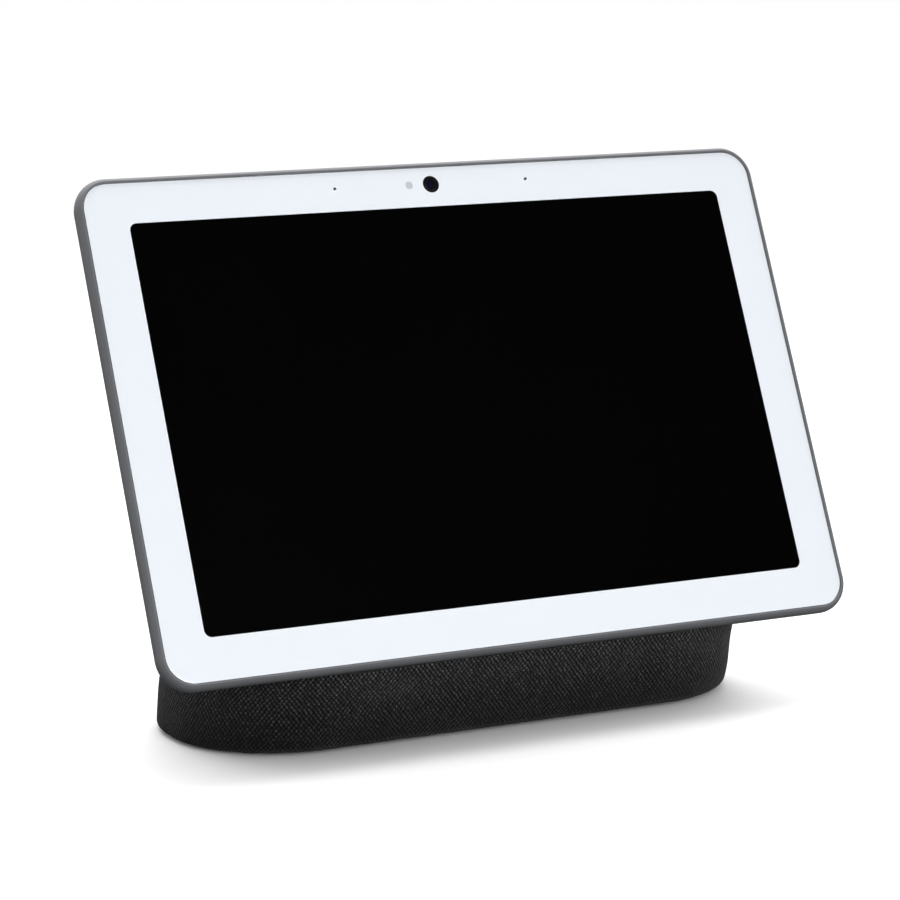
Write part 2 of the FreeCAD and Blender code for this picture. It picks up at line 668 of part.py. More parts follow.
def base_shell():
    outer = base_form(SHELL_GAP, SHELL_BOTTOM).cut(display_space(DISPLAY_GAP))
    room = base_form(SHELL_GAP + SHELL_WALL, SHELL_BOTTOM - 1)
    room = room.cut(display_space(DISPLAY_GAP + SHELL_WALL))
    wall = outer.cut(room).cut(base_slice(SHELL_GAP + SHELL_WALL, 0, SHELL_BOTTOM + 0.5))

    r = WOOFER_FLANGE_R
    woofer_seat = placed(tube(r + 2, WOOFER_OPEN_R, 0, 14), WOOFER_SEAT, WOOFER_TURN)
    tweeter_seat = placed(tube(11.0, TWEETER_OPEN_R, 0, 12), TWEETER_SEAT, TWEETER_TURN)
    added = [woofer_seat, tweeter_seat, mirrored(tweeter_seat)]
    added += [screw_post(x, y) for x, y in BASE_SCREWS]
    trim = base_form(SHELL_GAP + 0.4, SHELL_BOTTOM).cut(display_space(DISPLAY_GAP + 0.4))
    solid = wall
    for shape in added:
        solid = solid.fuse(shape.common(trim))

    bore = Part.makeCylinder(WOOFER_OPEN_R, 24, Vector(0, 0, -0.5), Z)
    room_for_cone = Part.makeCylinder(WOOFER_OPEN_R, 3.0, Vector(0, 0, -0.5), Z)
    tweeter_bore = Part.makeCylinder(TWEETER_OPEN_R, 18, Vector(0, 0, -0.5), Z)
    tweeter_way = placed(tweeter_bore, TWEETER_SEAT, TWEETER_TURN)
    cuts = [placed(shape, WOOFER_SEAT, WOOFER_TURN) for shape in (bore.cut(speaker_bars()), room_for_cone)]
    cuts += [tweeter_way, mirrored(tweeter_way)]
    cuts += [port_pill(0.25, 42, 60), port_pill(2.3, 38, PLATE_STEP_Y + 0.1)]
    for x, y in WOOFER_SCREWS:
        cuts.append(placed(Part.makeCylinder(1.3, 4.5, Vector(x, y, -1), Z), WOOFER_SEAT, WOOFER_TURN))
    cuts += [Part.makeCylinder(1.25, 9, Vector(x, y, 4), Z) for x, y in BASE_SCREWS]
    cuts += [leaned(rod(1.7, x, v, 8, 16)) for x, v in BRACKET_SCREWS]
    cuts.append(leaned(slab(CABLE_SLOT[0], CABLE_SLOT[1], 2.0, 8, 16, 0, BRACKET_V)))
    return solid.cut(fuse(cuts))


def base_floor():
    bottom = SHELL_BOTTOM + 0.1
    floor = base_slice(SHELL_GAP + SHELL_WALL + 1.2, bottom, bottom + FLOOR_T)
    posts = []
    for x, y in POWER_SCREWS:
        post = Part.makeCylinder(3.0, POWER_BOARD_Z[0] - bottom - 0.05, Vector(x, y, bottom), Z)
        posts.append(post)
    holes = [Part.makeCylinder(1.6, 6, Vector(x, y, 0), Z) for x, y in BASE_SCREWS]
    holes += [Part.makeCylinder(3.1, 1.4, Vector(x, y, SHELL_BOTTOM), Z) for x, y in BASE_SCREWS]
    holes += [Part.makeCylinder(1.15, 4, Vector(x, y, 5), Z) for x, y in POWER_SCREWS]
    return fuse([floor] + posts).cut(fuse(holes))


def base_screws():
    screws = []
    for x, y in BASE_SCREWS:
        head = Part.makeCylinder(2.8, 1.2, Vector(x, y, SHELL_BOTTOM + 0.12), Z)
        shank = Part.makeCylinder(1.2, 9.0, Vector(x, y, SHELL_BOTTOM + 1.3), Z)
        screws.append(fuse([head, shank]))
    return Part.makeCompound(screws)


def rubber_foot():
    pad = base_slice(HEM + 1.5, 0, SHELL_BOTTOM)
    return pad.cut(base_slice(HEM + 9.0, -1, FOOT_RECESS))


def port_plate():
    """The plate round the sockets: a well for the power plug and a recess for the data plug."""
    body = fuse([port_pill(0.0, PLATE_STEP_Y, PORT_FACE_Y), port_pill(2.0, 44.9, PLATE_STEP_Y + 0.05)])
    well = Part.makeCylinder(DC_WELL_R, 6, Vector(DC_X, PLATE_STEP_Y, PORT_Z), Y)
    nose_way = Part.makeCylinder(DC_HOLE_R + 0.5, 4, Vector(DC_X, 44, PORT_Z), Y)
    usb_way = placed(slab(4.9, 2.0, 1.9, -8, 8, USB_X, 0), Vector(0, 50, PORT_Z), 90)
    usb_recess = placed(slab(6.2, 3.2, 3.1, -2, 1.2, USB_X, 0), Vector(0, PORT_FACE_Y, PORT_Z), -90)
    return body.cut(fuse([well, nose_way, usb_way, usb_recess]))


def dc_socket():
    """The power jack: its body with a round bore, and the centre pin inside it."""
    body = block(DC_X - 4.6, DC_X + 4.6, 34.5, 44.8, PORT_Z - 4.6, PORT_Z + 4.6)
    nose = Part.makeCylinder(DC_HOLE_R + 0.3, 1.6, Vector(DC_X, 44.7, PORT_Z), Y)
    bore = Part.makeCylinder(DC_HOLE_R, 14, Vector(DC_X, 36.5, PORT_Z), Y)
    seat = Part.makeCylinder(DC_PIN_R, 4, Vector(DC_X, 34, PORT_Z), Y)
    pin = Part.makeCylinder(DC_PIN_R - 0.02, 11.0, Vector(DC_X, 34.6, PORT_Z), Y)
    return Part.makeCompound([fuse([body, nose]).cut(fuse([bore, seat])), pin])


def usb_socket():
    """The data socket: a steel shell and the tongue inside it."""
    shell = slab(4.47, 1.58, 1.5, 0, 7.4, USB_X, 0).cut(slab(4.15, 1.28, 1.2, -1, 6.9, USB_X, 0))
    tongue = plate(USB_X - 3.3, USB_X + 3.3, -0.35, 0.35, 1.2, 6.85)
    return placed(Part.makeCompound([shell, tongue]), Vector(0, 47.3, PORT_Z), -90)


def power_board():
    z0, z1 = POWER_BOARD_Z
    board = block(-37, 37, -18, 44.6, z0, z1)
    return board.cut(fuse([Part.makeCylinder(1.3, 3, Vector(x, y, z0 - 1), Z) for x, y in POWER_SCREWS]))


def power_screws():
    screws = []
    for x, y in POWER_SCREWS:
        head = Part.makeCylinder(2.2, 1.5, Vector(x, y, POWER_BOARD_Z[1] + 0.02), Z)
        shank = Part.makeCylinder(1.1, 4.0, Vector(x, y, POWER_BOARD_Z[1] - 3.9), Z)
        screws.append(fuse([head, shank]))
    return Part.makeCompound(screws)


def power_parts():
    """What stands on the power board: capacitors, coils, the amplifier chip and connectors."""
    z = POWER_BOARD_Z[1] + 0.02
    cans = [Part.makeCylinder(4.0, 9.5, Vector(x, y, z), Z) for x, y in ((-22, 6), (-22, 16), (24, 28))]
    coils = [block(x - 3.5, x + 3.5, 1, 8, z, z + 4) for x in (-8, 2)]
    chips = [block(8, 17, -4, 5, z, z + 1.2), block(-27, -21, 28, 34, z, z + 1.0)]
    plugs = [block(-10, 10, -12.8, -9.8, z, z + 2.4), block(-31, -24, -8, -4, z, z + 4.5)]
    plugs += [block(24, 31, y, y + 4, z, z + 4.5) for y in (-8, 8)]
    return Part.makeCompound(cans + coils + chips + plugs)


def speaker_leads():
    """A lead to each tweeter and one to the woofer, from the power board's connectors."""
    z = POWER_BOARD_Z[1] + 5.0
    turn = math.radians(TWEETER_TURN)
    motor = TWEETER_SEAT + Vector(0, math.sin(turn), -math.cos(turn)) * 12.9
    lead = cable([Vector(27.5, -6, z), Vector(29, -6, z + 9), Vector(48, -12, z + 14), motor], 0.7, 3.0)
    left = mirrored(lead)
    points = [Vector(27.5, 10, z), Vector(29, 10, z + 5), Vector(40, 16, 34), Vector(37, 22.5, 54)]
    return Part.makeCompound([lead, left, cable(points, 0.7, 3.0)])


def pieces():
    """Every piece by its name, where it is on the finished object."""
    flat = {
        "cover_glass": cover_glass(),
        "bezel_print": bezel_print(),
        "panel_tape": panel_tape(),
        "mid_frame": mid_frame(),
        "lcd_panel": slab(112.2, 71.8, 1.0, 1.0, 3.0),
        "light_guide": slab(112.0, 71.6, 1.0, 3.05, 4.75),
        "backlight_tray": backlight_tray(),
        "heat_spreader": heat_spreader(),
        "camera_ring": camera_ring(),
        "camera_barrel": camera_barrel(),
        "camera_lens": camera_lens(),
        "sensor_board": sensor_board(),
        "microphones": microphones(),
        "mic_seals": mic_seals(),
        "light_pipe": light_pipe(),
        "status_led": status_led(),
        "display_housing": display_housing(),
        "main_board": main_board(),
        "board_components": board_components(),
        "thermal_pads": thermal_pads(),
        "board_shields": board_shields(),
        "board_screws": board_screws(),
        "antennas": antennas(),
        "volume_rocker": volume_rocker(),
        "rocker_pin": rocker_pin(),
        "button_boards": button_boards(),
        "volume_switches": volume_switches(),
        "mute_slider": mute_slider(),
        "mute_flag": mute_flag(),
        "mute_switch": mute_switch(),
        "display_bracket": display_bracket(),
        "bracket_screws": bracket_screws(),
    }
    woofer = {
        "woofer_gasket": woofer_gasket(),
        "woofer_basket": woofer_basket(),
        "woofer_top_plate": woofer_top_plate(),
        "woofer_magnet": woofer_magnet(),
        "woofer_yoke": woofer_yoke(),
        "woofer_coil": woofer_coil(),
        "woofer_cone": woofer_cone(),
        "woofer_dust_cap": woofer_dust_cap(),
        "woofer_surround": woofer_surround(),
        "woofer_spider": woofer_spider(),
        "woofer_screws": woofer_screws(),
    }
    made = {name: leaned(shape) for name, shape in flat.items()}
    made.update({name: placed(s, WOOFER_SEAT, WOOFER_TURN) for name, s in woofer.items()})
    for name, shape in (("tweeter_frames", tweeter_frame()), ("tweeter_motors", tweeter_motor())):
        right = placed(shape, TWEETER_SEAT, TWEETER_TURN)
        made[name] = Part.makeCompound([right, mirrored(right)])
    made["right_tweeter_dome"] = placed(tweeter_dome(), TWEETER_SEAT, TWEETER_TURN)
    made["left_tweeter_dome"] = mirrored(made["right_tweeter_dome"])
    made.update({
        "fabric_sleeve": fabric_sleeve(),
        "base_shell": base_shell(),
        "base_floor": base_floor(),
        "base_screws": base_screws(),
        "rubber_foot": rubber_foot(),
        "port_plate": port_plate(),
        "dc_socket": dc_socket(),
        "usb_socket": usb_socket(),
        "power_board": power_board(),
        "power_screws": power_screws(),
        "power_parts": power_parts(),
        "speaker_leads": speaker_leads(),
        "signal_flex": signal_flex(),
    })
    return made


def main():
    os.makedirs("parts", exist_ok=True)
    for name, shape in pieces().items():
        shape.exportStep(os.path.join("parts", name + ".step"))
        print(name, len(shape.Solids), "solids", round(shape.Volume / 1000, 2), "cm3", shape.isValid())


if __name__ == "__main__":
    main()
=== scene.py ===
"""Smart display: the finished looks of a ten-inch touchscreen on a fabric-covered speaker base."""

import functools
import math

import bmesh
import bpy
from bpy.props import FloatProperty, FloatVectorProperty, IntProperty, PointerProperty
from mathutils import Matrix, Vector


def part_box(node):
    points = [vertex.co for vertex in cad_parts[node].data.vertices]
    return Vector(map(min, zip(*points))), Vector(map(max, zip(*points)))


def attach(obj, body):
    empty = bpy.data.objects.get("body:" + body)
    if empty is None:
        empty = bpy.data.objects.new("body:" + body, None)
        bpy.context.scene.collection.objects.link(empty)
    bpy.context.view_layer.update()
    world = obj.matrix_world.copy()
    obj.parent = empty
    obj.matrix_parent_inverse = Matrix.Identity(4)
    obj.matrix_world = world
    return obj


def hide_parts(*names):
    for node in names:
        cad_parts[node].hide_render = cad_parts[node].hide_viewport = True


bl_info = {
    "name": "Smart Display Builder",
    "version": (1, 0, 0),
    "blender": (4, 5, 0),
    "location": "View3D > Sidebar > Smart Display",
    "description": "Builds the visible pieces and finishes of a smart display around its packed frame",
    "category": "Object",
}

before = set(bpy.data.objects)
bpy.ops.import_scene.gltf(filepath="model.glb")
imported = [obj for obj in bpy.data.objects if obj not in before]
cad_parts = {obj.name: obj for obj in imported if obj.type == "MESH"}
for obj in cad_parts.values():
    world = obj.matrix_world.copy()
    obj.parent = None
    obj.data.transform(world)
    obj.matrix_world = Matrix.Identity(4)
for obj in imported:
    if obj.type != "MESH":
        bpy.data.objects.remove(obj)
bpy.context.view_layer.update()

MM = 0.001
TILT = math.radians(24)
OUT_OF_SCREEN = Vector((0, -math.cos(TILT), math.sin(TILT)))

# Depths behind the glass's front, in millimetres, that the pieces share.
GLASS_T = 0.8
LCD_MIDDLE = 2.0
HOUSING_BACK = 11.0
HOUSING_FLOOR = 9.4
HOUSING_CUT = (-12.0, -9.2)

# The glass's corner and the sensors behind it, in millimetres.
GLASS_CORNER = 9.0
SENSOR_LINE = 75.56
MIC_X, MIC_HOLE_R = 35.3, 0.5

# Controls on the back of the display, in millimetres.
ROCKER_X, ROCKER_V, ROCKER_W, ROCKER_L = 98.0, 33.0, 5.0, 27.0
ROCKER_DIP, ROCKER_DIP_L = 0.42, 6.0
SLIDER_V, SLIDER_TRAVEL, KNOB_W, KNOB_H = 58.0, 3.6, 6.6, 4.2

# The bracket's opening in the housing and the holes for its screws, in millimetres.
BRACKET_V, BRACKET_HOLE_X, BRACKET_HOLE_V = -42.0, 52.0, 12.0

# Sockets on the back of the base, in millimetres.
PORT_Z, PORT_W, PORT_H, PORT_FACE_Y = 14.5, 30.0, 13.0, 50.2
DC_X, DC_WELL_R, DC_WELL_DEPTH, DC_HOLE_R = -6.5, 4.6, 3.8, 2.8
USB_X = 7.5

# The base's outline: its corner as a share of half its depth, the faces along each corner and side,
# and level by level its height, front, back and half width in millimetres.
BASE_CORNER = 0.938
BASE_STEPS, BASE_SIDES = 26, 44
BASE_LEVELS = [
    (0.6, -33.3, 50.3, 101.5),
    (8.0, -37.7, 50.6, 101.6),
    (18.0, -41.8, 50.5, 101.1),
    (29.0, -47.5, 47.3, 99.8),
    (46.0, -50.0, 40.9, 97.6),
    (66.0, -50.0, 33.3, 95.0),
    (86.0, -50.0, 25.2, 91.8),
    (100.0, -50.0, 19.3, 88.6),
    (111.0, -50.0, 14.0, 85.4),
    (117.5, -50.0, 8.4, 82.4),
    (121.5, -50.0, 1.0, 79.0),
    (123.5, -50.0, -7.0, 75.5),
]

# The housing's section as (out from the glass's edge, depth), from the glass's seat to the flat back.
HOUSING_SECTION = [
    (0.13, 0.42),
    (0.17, 0.28),
    (0.30, 0.18),
    (0.52, 0.16),
    (0.80, 0.24),
    (1.50, 0.90),
    (1.98, 1.90),
    (2.15, 3.10),
    (2.00, 4.50),
    (1.40, 6.00),
    (0.00, 7.70),
    (-2.20, 9.00),
    (-5.00, 10.00),
    (-8.00, 10.60),
    (-10.50, 10.88),
    (-13.00, HOUSING_BACK),
]

lcd_low, lcd_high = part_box("lcd_panel")
GLASS_CENTRE = (lcd_low + lcd_high) / 2 + OUT_OF_SCREEN * LCD_MIDDLE * MM
DISPLAY = Matrix.Translation(GLASS_CENTRE) @ Matrix.Rotation(math.pi / 2 - TILT, 4, "X")
glass_low, glass_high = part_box("cover_glass")
GLASS_HALF_W = (glass_high.x - glass_low.x) / 2 / MM
GLASS_HALF_H = ((glass_high.z - glass_low.z) / MM - GLASS_T * math.sin(TILT)) / math.cos(TILT) / 2


# Settings ---


class StageSettings(bpy.types.PropertyGroup):
    """The floor, the lamps and the camera."""

    floor_size: FloatProperty(
        name="Floor size", description="Width of the floor", default=14.0, unit="LENGTH"
    )
    room_light: FloatProperty(
        name="Room light", description="How much light comes from all round", default=1.1
    )
    front_reflection: FloatProperty(
        name="Front reflection",
        description="How bright the room before the screen is in reflections",
        default=0.003,
    )
    top_power: FloatProperty(
        name="Top lamp", description="Power of the lamp overhead", default=13.0, unit="POWER"
    )
    front_power: FloatProperty(
        name="Front lamp", description="Power of the low front lamp", default=12.0, unit="POWER"
    )
    lens: FloatProperty(
        name="Lens", description="The camera's focal length in millimetres", default=127.45
    )


class DisplaySettings(bpy.types.PropertyGroup):
    """The display's pieces."""

    housing_colour: FloatVectorProperty(
        name="Housing",
        description="Colour of the moulded housing",
        subtype="COLOR",
        default=(0.148, 0.155, 0.165),
    )
    bezel_colour: FloatVectorProperty(
        name="Bezel",
        description="Colour of the print behind the glass",
        subtype="COLOR",
        default=(0.895, 0.935, 1.0),
    )
    corner_steps: IntProperty(
        name="Corner steps", description="Faces round each corner", default=28, min=6
    )


class ClothSettings(bpy.types.PropertyGroup):
    """The knitted cover of the base."""

    stitch_width: FloatProperty(
        name="Stitch width",
        description="Width of one column of stitches",
        default=1.58 * MM,
        unit="LENGTH",
    )
    stitch_height: FloatProperty(
        name="Stitch height",
        description="Height of one row of stitches",
        default=1.13 * MM,
        unit="LENGTH",
    )
    thickness: FloatProperty(
        name="Thickness", description="Thickness of the knit", default=0.9 * MM, unit="LENGTH"
    )
    # The yarn colour is the yarn's own colour brightened as a painted highlight, and the gap colour is
    # painted shade between the stitches.
    yarn_highlight_colour: FloatVectorProperty(
        name="Yarn",
        description="Colour of the yarn's lit side",
        subtype="COLOR",
        default=(0.23, 0.231, 0.237),
    )
    gap_shade_colour: FloatVectorProperty(
        name="Gaps",
        description="Colour between the stitches",
        subtype="COLOR",
        default=(0.002, 0.002, 0.0022),
    )


# Meshes ---


def outline(half_w, half_h, corner, steps, sides=1, centre=(0.0, 0.0)):
    """A rounded rectangle's points, with sides spans along each straight stretch."""
    arcs = []
    for sx, sy, start in ((1, 1, 0), (-1, 1, 90), (-1, -1, 180), (1, -1, 270)):
        cx, cy = centre[0] + sx * (half_w - corner), centre[1] + sy * (half_h - corner)
        turns = [math.radians(start + 90 * k / steps) for k in range(steps + 1)]
        arcs.append([Vector((cx + corner * math.cos(a), cy + corner * math.sin(a), 0)) for a in turns])
    points = []
    for arc, following in zip(arcs, arcs[1:] + arcs[:1]):
        points += arc + [arc[-1].lerp(following[0], k / sides) for k in range(1, sides)]
    return points


def circle(radius, steps, centre=(0.0, 0.0)):
    angles = [2 * math.pi * k / steps for k in range(steps)]
    return [Vector((centre[0] + radius * math.cos(a), centre[1] + radius * math.sin(a), 0)) for a in angles]


def at_height(points, z):
    return [Vector((p.x, p.y, z)) for p in points]


def smooth_line(points, spans):
    """A smooth line through the points: spans pieces between each pair, by Catmull and Rom's rule."""
    padded = [points[0], *points, points[-1]]
    line = []
    for a, b, c, d in zip(padded, padded[1:], padded[2:], padded[3:]):
        for k in range(spans):
            t = k / spans
            weights = (2 * t**2 - t - t**3, 2 - 5 * t**2 + 3 * t**3, t + 4 * t**2 - 3 * t**3, t**3 - t**2)
            line.append([sum(w * v for w, v in zip(weights, four)) / 2 for four in zip(a, b, c, d)])
    return line + [list(points[-1])]


def new_piece(name, mesh):
    piece = bpy.data.objects.new(name, mesh)
    bpy.context.scene.collection.objects.link(piece)
    return piece


def skin(name, rings, closed=False):
    """A piece from rings of points in millimetres. It is capped at both ends, or closed into a loop."""
    count = len(rings[0])
    faces = []
    for i in range(len(rings) if closed else len(rings) - 1):
        faces += band(i, (i + 1) % len(rings), count)
    if not closed:
        faces.append(tuple(reversed(range(count))))
        faces.append(tuple(range((len(rings) - 1) * count, len(rings) * count)))
    mesh = bpy.data.meshes.new(name)
    mesh.from_pydata([p * MM for ring in rings for p in ring], [], faces)
    tidy_faces(mesh)
    return new_piece(name, mesh)


def band(i, j, count):
    """The faces between ring i and ring j, of count points each."""
    following = [*range(1, count), 0]
    return [(i * count + k, i * count + m, j * count + m, j * count + k) for k, m in enumerate(following)]


def tidy_faces(mesh):
    """Turns every face of a closed mesh outwards."""
    shape = bmesh.new()
    shape.from_mesh(mesh)
    bmesh.ops.recalc_face_normals(shape, faces=shape.faces)
    shape.to_mesh(mesh)
    shape.free()


def smooth(piece, angle=32.0):
    """Smooth faces with crisp edges past angle, and flat faces kept flat by weighted normals."""
    piece.data.polygons.foreach_set("use_smooth", [True] * len(piece.data.polygons))
    piece.data.set_sharp_from_angle(angle=math.radians(angle))
    weighted = piece.modifiers.new("even_normals", "WEIGHTED_NORMAL")
    weighted.keep_sharp = True
    weighted.weight = 60
    return piece


def settle(piece):
    """Applies a piece's modifiers to its mesh."""
    bpy.context.view_layer.update()
    graph = bpy.context.evaluated_depsgraph_get()
    mesh = bpy.data.meshes.new_from_object(piece.evaluated_get(graph), depsgraph=graph)
    piece.modifiers.clear()
    piece.data = mesh
    return piece


def merged(name, pieces):
    """One piece from several, whose meshes stay separate shells."""
    shape = bmesh.new()
    for piece in pieces:
        shape.from_mesh(piece.data)
        bpy.data.objects.remove(piece)
    mesh = bpy.data.meshes.new(name)
    shape.to_mesh(mesh)
    shape.free()
    return new_piece(name, mesh)


def cut(piece, *tools):
    """Cuts the tools' volumes out of a piece."""
    tool = merged("cutter", tools)
    boolean = piece.modifiers.new("cut", "BOOLEAN")
    boolean.operation, boolean.solver, boolean.object = "DIFFERENCE", "EXACT", tool
    settle(piece)
    bpy.data.objects.remove(tool)
    return piece


def slab(name, half_w, half_h, corner, z0, z1, steps=10, centre=(0.0, 0.0)):
    ring = outline(half_w, half_h, corner, steps, 1, centre)
    return skin(name, [at_height(ring, z0), at_height(ring, z1)])


def rounded_slab(name, half_w, half_h, corner, z0, z1, edge, steps=14, centre=(0.0, 0.0), both=True):
    """A rounded plate whose top edge, or both edges, are rolled over by edge."""
    rings = []
    turns = [math.radians(90 * k / 5) for k in range(6)]
    if both:
        for a in turns:
            drawn_in = edge * (1 - math.sin(a))
            ring = outline(half_w - drawn_in, half_h - drawn_in, corner - drawn_in, steps, 1, centre)
            rings.append(at_height(ring, z0 + edge * (1 - math.cos(a))))
    else:
        rings.append(at_height(outline(half_w, half_h, corner, steps, 1, centre), z0))
    for a in reversed(turns):
        drawn_in = edge * (1 - math.sin(a))
        ring = outline(half_w - drawn_in, half_h - drawn_in, corner - drawn_in, steps, 1, centre)
        rings.append(at_height(ring, z1 - edge * (1 - math.cos(a))))
    return skin(name, rings)


def rod(name, radius, z0, z1, centre=(0.0, 0.0), steps=40):
    ring = circle(radius, steps, centre)
    return skin(name, [at_height(ring, z0), at_height(ring, z1)])


def turned(name, section, steps=64, centre=(0.0, 0.0)):
    """A closed turned piece from its section, as (radius, height) points."""
    return skin(name, [at_height(circle(r, steps, centre), z) for r, z in section], closed=True)


def place(piece, matrix):
    piece.data.transform(matrix)
    return piece


def hand_over(piece, body, slot, finish, *nodes):
    """Gives a finished piece its material and its body, and hides the CAD nodes it stands for. Its slot is
    not used.
    """
    piece.data.materials.clear()
    piece.data.materials.append(finish)
    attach(piece, body)
    if nodes:
        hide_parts(*nodes)
    return piece


# Shader effects that several finishes share ---


def feed(tree, socket, given):
    """Links an input to what is given, or sets it."""
    if isinstance(given, bpy.types.NodeSocket):
        tree.links.new(given, socket)
    else:
        socket.default_value = given


def feed_all(tree, node, inputs):
    """Feeds a node's inputs. A name's underscores stand for spaces, and i0, i1 and so on go by number."""
    for key, given in inputs.items():
        numbered = key[0] == "i" and key[1:].isdigit()
        feed(tree, node.inputs[int(key[1:]) if numbered else key.replace("_", " ")], given)


def value(tree, kind, settings=None, **inputs):
    """A shader node with its inputs set or linked."""
    node = tree.nodes.new("ShaderNode" + kind)
    for key, setting in (settings or {}).items():
        setattr(node, key, setting)
    feed_all(tree, node, inputs)
    return node


def sums(tree, operation, *terms, clamp=False):
    """The result of a Math node."""
    inputs = {f"i{k}": term for k, term in enumerate(terms)}
    return value(tree, "Math", {"operation": operation, "use_clamp": clamp}, **inputs).outputs[0]


def times(tree, *terms, clamp=False):
    """The product of its terms. Only the last step is clamped."""
    first, *others, last = terms
    for term in others:
        first = sums(tree, "MULTIPLY", first, term)
    return sums(tree, "MULTIPLY", first, last, clamp=clamp)


def spread(tree, share, middle, gain, clamp=False):
    """How far a share stands from its middle, times gain."""
    return times(tree, sums(tree, "SUBTRACT", share, middle), gain, clamp=clamp)


def object_place(tree):
    return value(tree, "TexCoord").outputs["Object"]


def noise(tree, scale, detail, roughness=0.5, at=None):
    """Noise in the piece's own space, or at a given place."""
    inputs = {"Scale": scale, "Detail": detail, "Roughness": roughness}
    return value(tree, "TexNoise", Vector=at or object_place(tree), **inputs).outputs[0]


def upward(tree):
    """How far a surface faces up, from -1 to 1."""
    return value(tree, "SeparateXYZ", Vector=value(tree, "NewGeometry").outputs["Normal"]).outputs["Z"]


def blend_colours(tree, share, first, second):
    node = value(tree, "Mix", {"data_type": "RGBA"}, i0=share)
    for number, given in ((6, first), (7, second)):
        linked = isinstance(given, bpy.types.NodeSocket)
        feed(tree, node.inputs[number], given if linked else (*given[:3], 1.0))
    return node.outputs[2]


def effect(name, inputs, outputs, build):
    """A shader node group, built the first time that it is asked for."""
    found = bpy.data.node_groups.get(name)
    if found:
        return found
    tree = bpy.data.node_groups.new(name, "ShaderNodeTree")
    for label, kind, default in inputs:
        socket = tree.interface.new_socket(label, in_out="INPUT", socket_type="NodeSocket" + kind)
        if default is not None:
            socket.default_value = default
    for label, kind in outputs:
        tree.interface.new_socket(label, in_out="OUTPUT", socket_type="NodeSocket" + kind)
    given = tree.nodes.new("NodeGroupInput")
    result = tree.nodes.new("NodeGroupOutput")
    for label, socket in build(tree, given.outputs).items():
        tree.links.new(socket, result.inputs[label])
    return tree


def use(tree, group, **inputs):
    """The outputs of a shader node group, fed with what is given."""
    node = value(tree, "Group", {"node_tree": group}, **inputs)
    return node.outputs


def grain_group():
    """The fine spark-eroded texture of moulded plastic and the soft unevenness of its tint."""

    def build(tree, given):
        fine = noise(tree, given["Scale"], 2.0, 0.6)
        pits = value(tree, "TexVoronoi", Vector=object_place(tree), Scale=times(tree, given["Scale"], 0.7))
        height = sums(tree, "ADD", fine, times(tree, pits.outputs[0], 0.5))
        return {"Height": height, "Tint": noise(tree, 38.0, 3.0), "Speckle": fine}

    outputs = [("Height", "Float"), ("Tint", "Float"), ("Speckle", "Float")]
    return effect("Moulded grain", [("Scale", "Float", 2600.0)], outputs, build)


def wear_group():
    """Edges polished and lightened by handling, broken up by noise."""

    def build(tree, given):
        rounded = value(tree, "Bevel", {"samples": 4}, Radius=given["Radius"]).outputs[0]
        normal = value(tree, "NewGeometry").outputs["Normal"]
        facing = value(tree, "VectorMath", {"operation": "DOT_PRODUCT"}, i0=rounded, i1=normal)
        edge = times(tree, sums(tree, "SUBTRACT", 1.0, facing.outputs["Value"]), 7.0, clamp=True)
        broken = spread(tree, noise(tree, 420.0, 3.0), 0.35, 2.4, clamp=True)
        return {"Mask": times(tree, edge, broken, given["Amount"])}

    inputs = [("Radius", "Float", 0.0006), ("Amount", "Float", 0.5)]
    return effect("Edge wear", inputs, [("Mask", "Float")], build)


def dust_group():
    """Fine dust on what faces up."""

    def build(tree, given):
        flat = sums(tree, "POWER", sums(tree, "MAXIMUM", upward(tree), 0.0), 3.0)
        sparse = spread(tree, noise(tree, 900.0, 4.0, 0.75), 0.5, 3.0, clamp=True)
        return {"Mask": times(tree, flat, sparse, given["Amount"])}

    return effect("Dust", [("Amount", "Float", 0.2)], [("Mask", "Float")], build)


def knit_group():
    """Staggered stitches, whose yarns chain into slanting lines. Cloth is the place on the cloth."""

    def ridge(tree, position):
        aside = sums(tree, "ABSOLUTE", sums(tree, "SUBTRACT", sums(tree, "FRACT", position), 0.5))
        return sums(tree, "SUBTRACT", 1.0, sums(tree, "POWER", times(tree, aside, 2.0), 1.5))

    def chained(tree, strong, weak):
        return times(tree, strong, sums(tree, "MULTIPLY_ADD", weak, 0.5, 0.5))

    def build(tree, given):
        cloth = given["Cloth"]
        across, along, _ = value(tree, "SeparateXYZ", Vector=cloth).outputs
        leaning = sums(tree, "MULTIPLY_ADD", along, given["Lean"], across)
        column = sums(tree, "DIVIDE", leaning, given["Stitch Width"])
        column = sums(tree, "MULTIPLY_ADD", noise(tree, 420.0, 1.0, at=cloth), given["Wander"], column)
        row = sums(tree, "DIVIDE", along, times(tree, given["Stitch Height"], 2.0))
        falling, rising = sums(tree, "ADD", column, row), sums(tree, "SUBTRACT", column, row)
        fall_line, rise_line = ridge(tree, falling), ridge(tree, rising)
        patch = noise(tree, 55.0, 2.0, at=cloth)
        share = sums(tree, "MULTIPLY_ADD", patch, 3.0, given["Rising"], clamp=True)
        first, second = chained(tree, fall_line, rise_line), chained(tree, rise_line, fall_line)
        height = value(tree, "Mix", Factor=share, A=first, B=second).outputs[0]
        cell = value(tree, "CombineXYZ", X=sums(tree, "FLOOR", falling), Y=sums(tree, "FLOOR", rising))
        flat = {"noise_dimensions": "2D"}
        chance = value(tree, "TexWhiteNoise", flat, Vector=cell.outputs[0]).outputs[0]
        fibres = noise(tree, 1900.0, 3.0, at=cloth)
        fuzzy = sums(tree, "MULTIPLY_ADD", fibres, 0.25, height)
        return {"Height": fuzzy, "Yarn": height, "Stitch": chance, "Fibres": fibres}

    inputs = [
        ("Cloth", "Vector", None),
        ("Stitch Width", "Float", 0.00158),
        ("Stitch Height", "Float", 0.00113),
        ("Wander", "Float", 0.8),
        ("Rising", "Float", -1.1),
        ("Lean", "Float", 0.1),
    ]
    outputs = [("Height", "Float"), ("Yarn", "Float"), ("Stitch", "Float"), ("Fibres", "Float")]
    return effect("Knit", inputs, outputs, build)


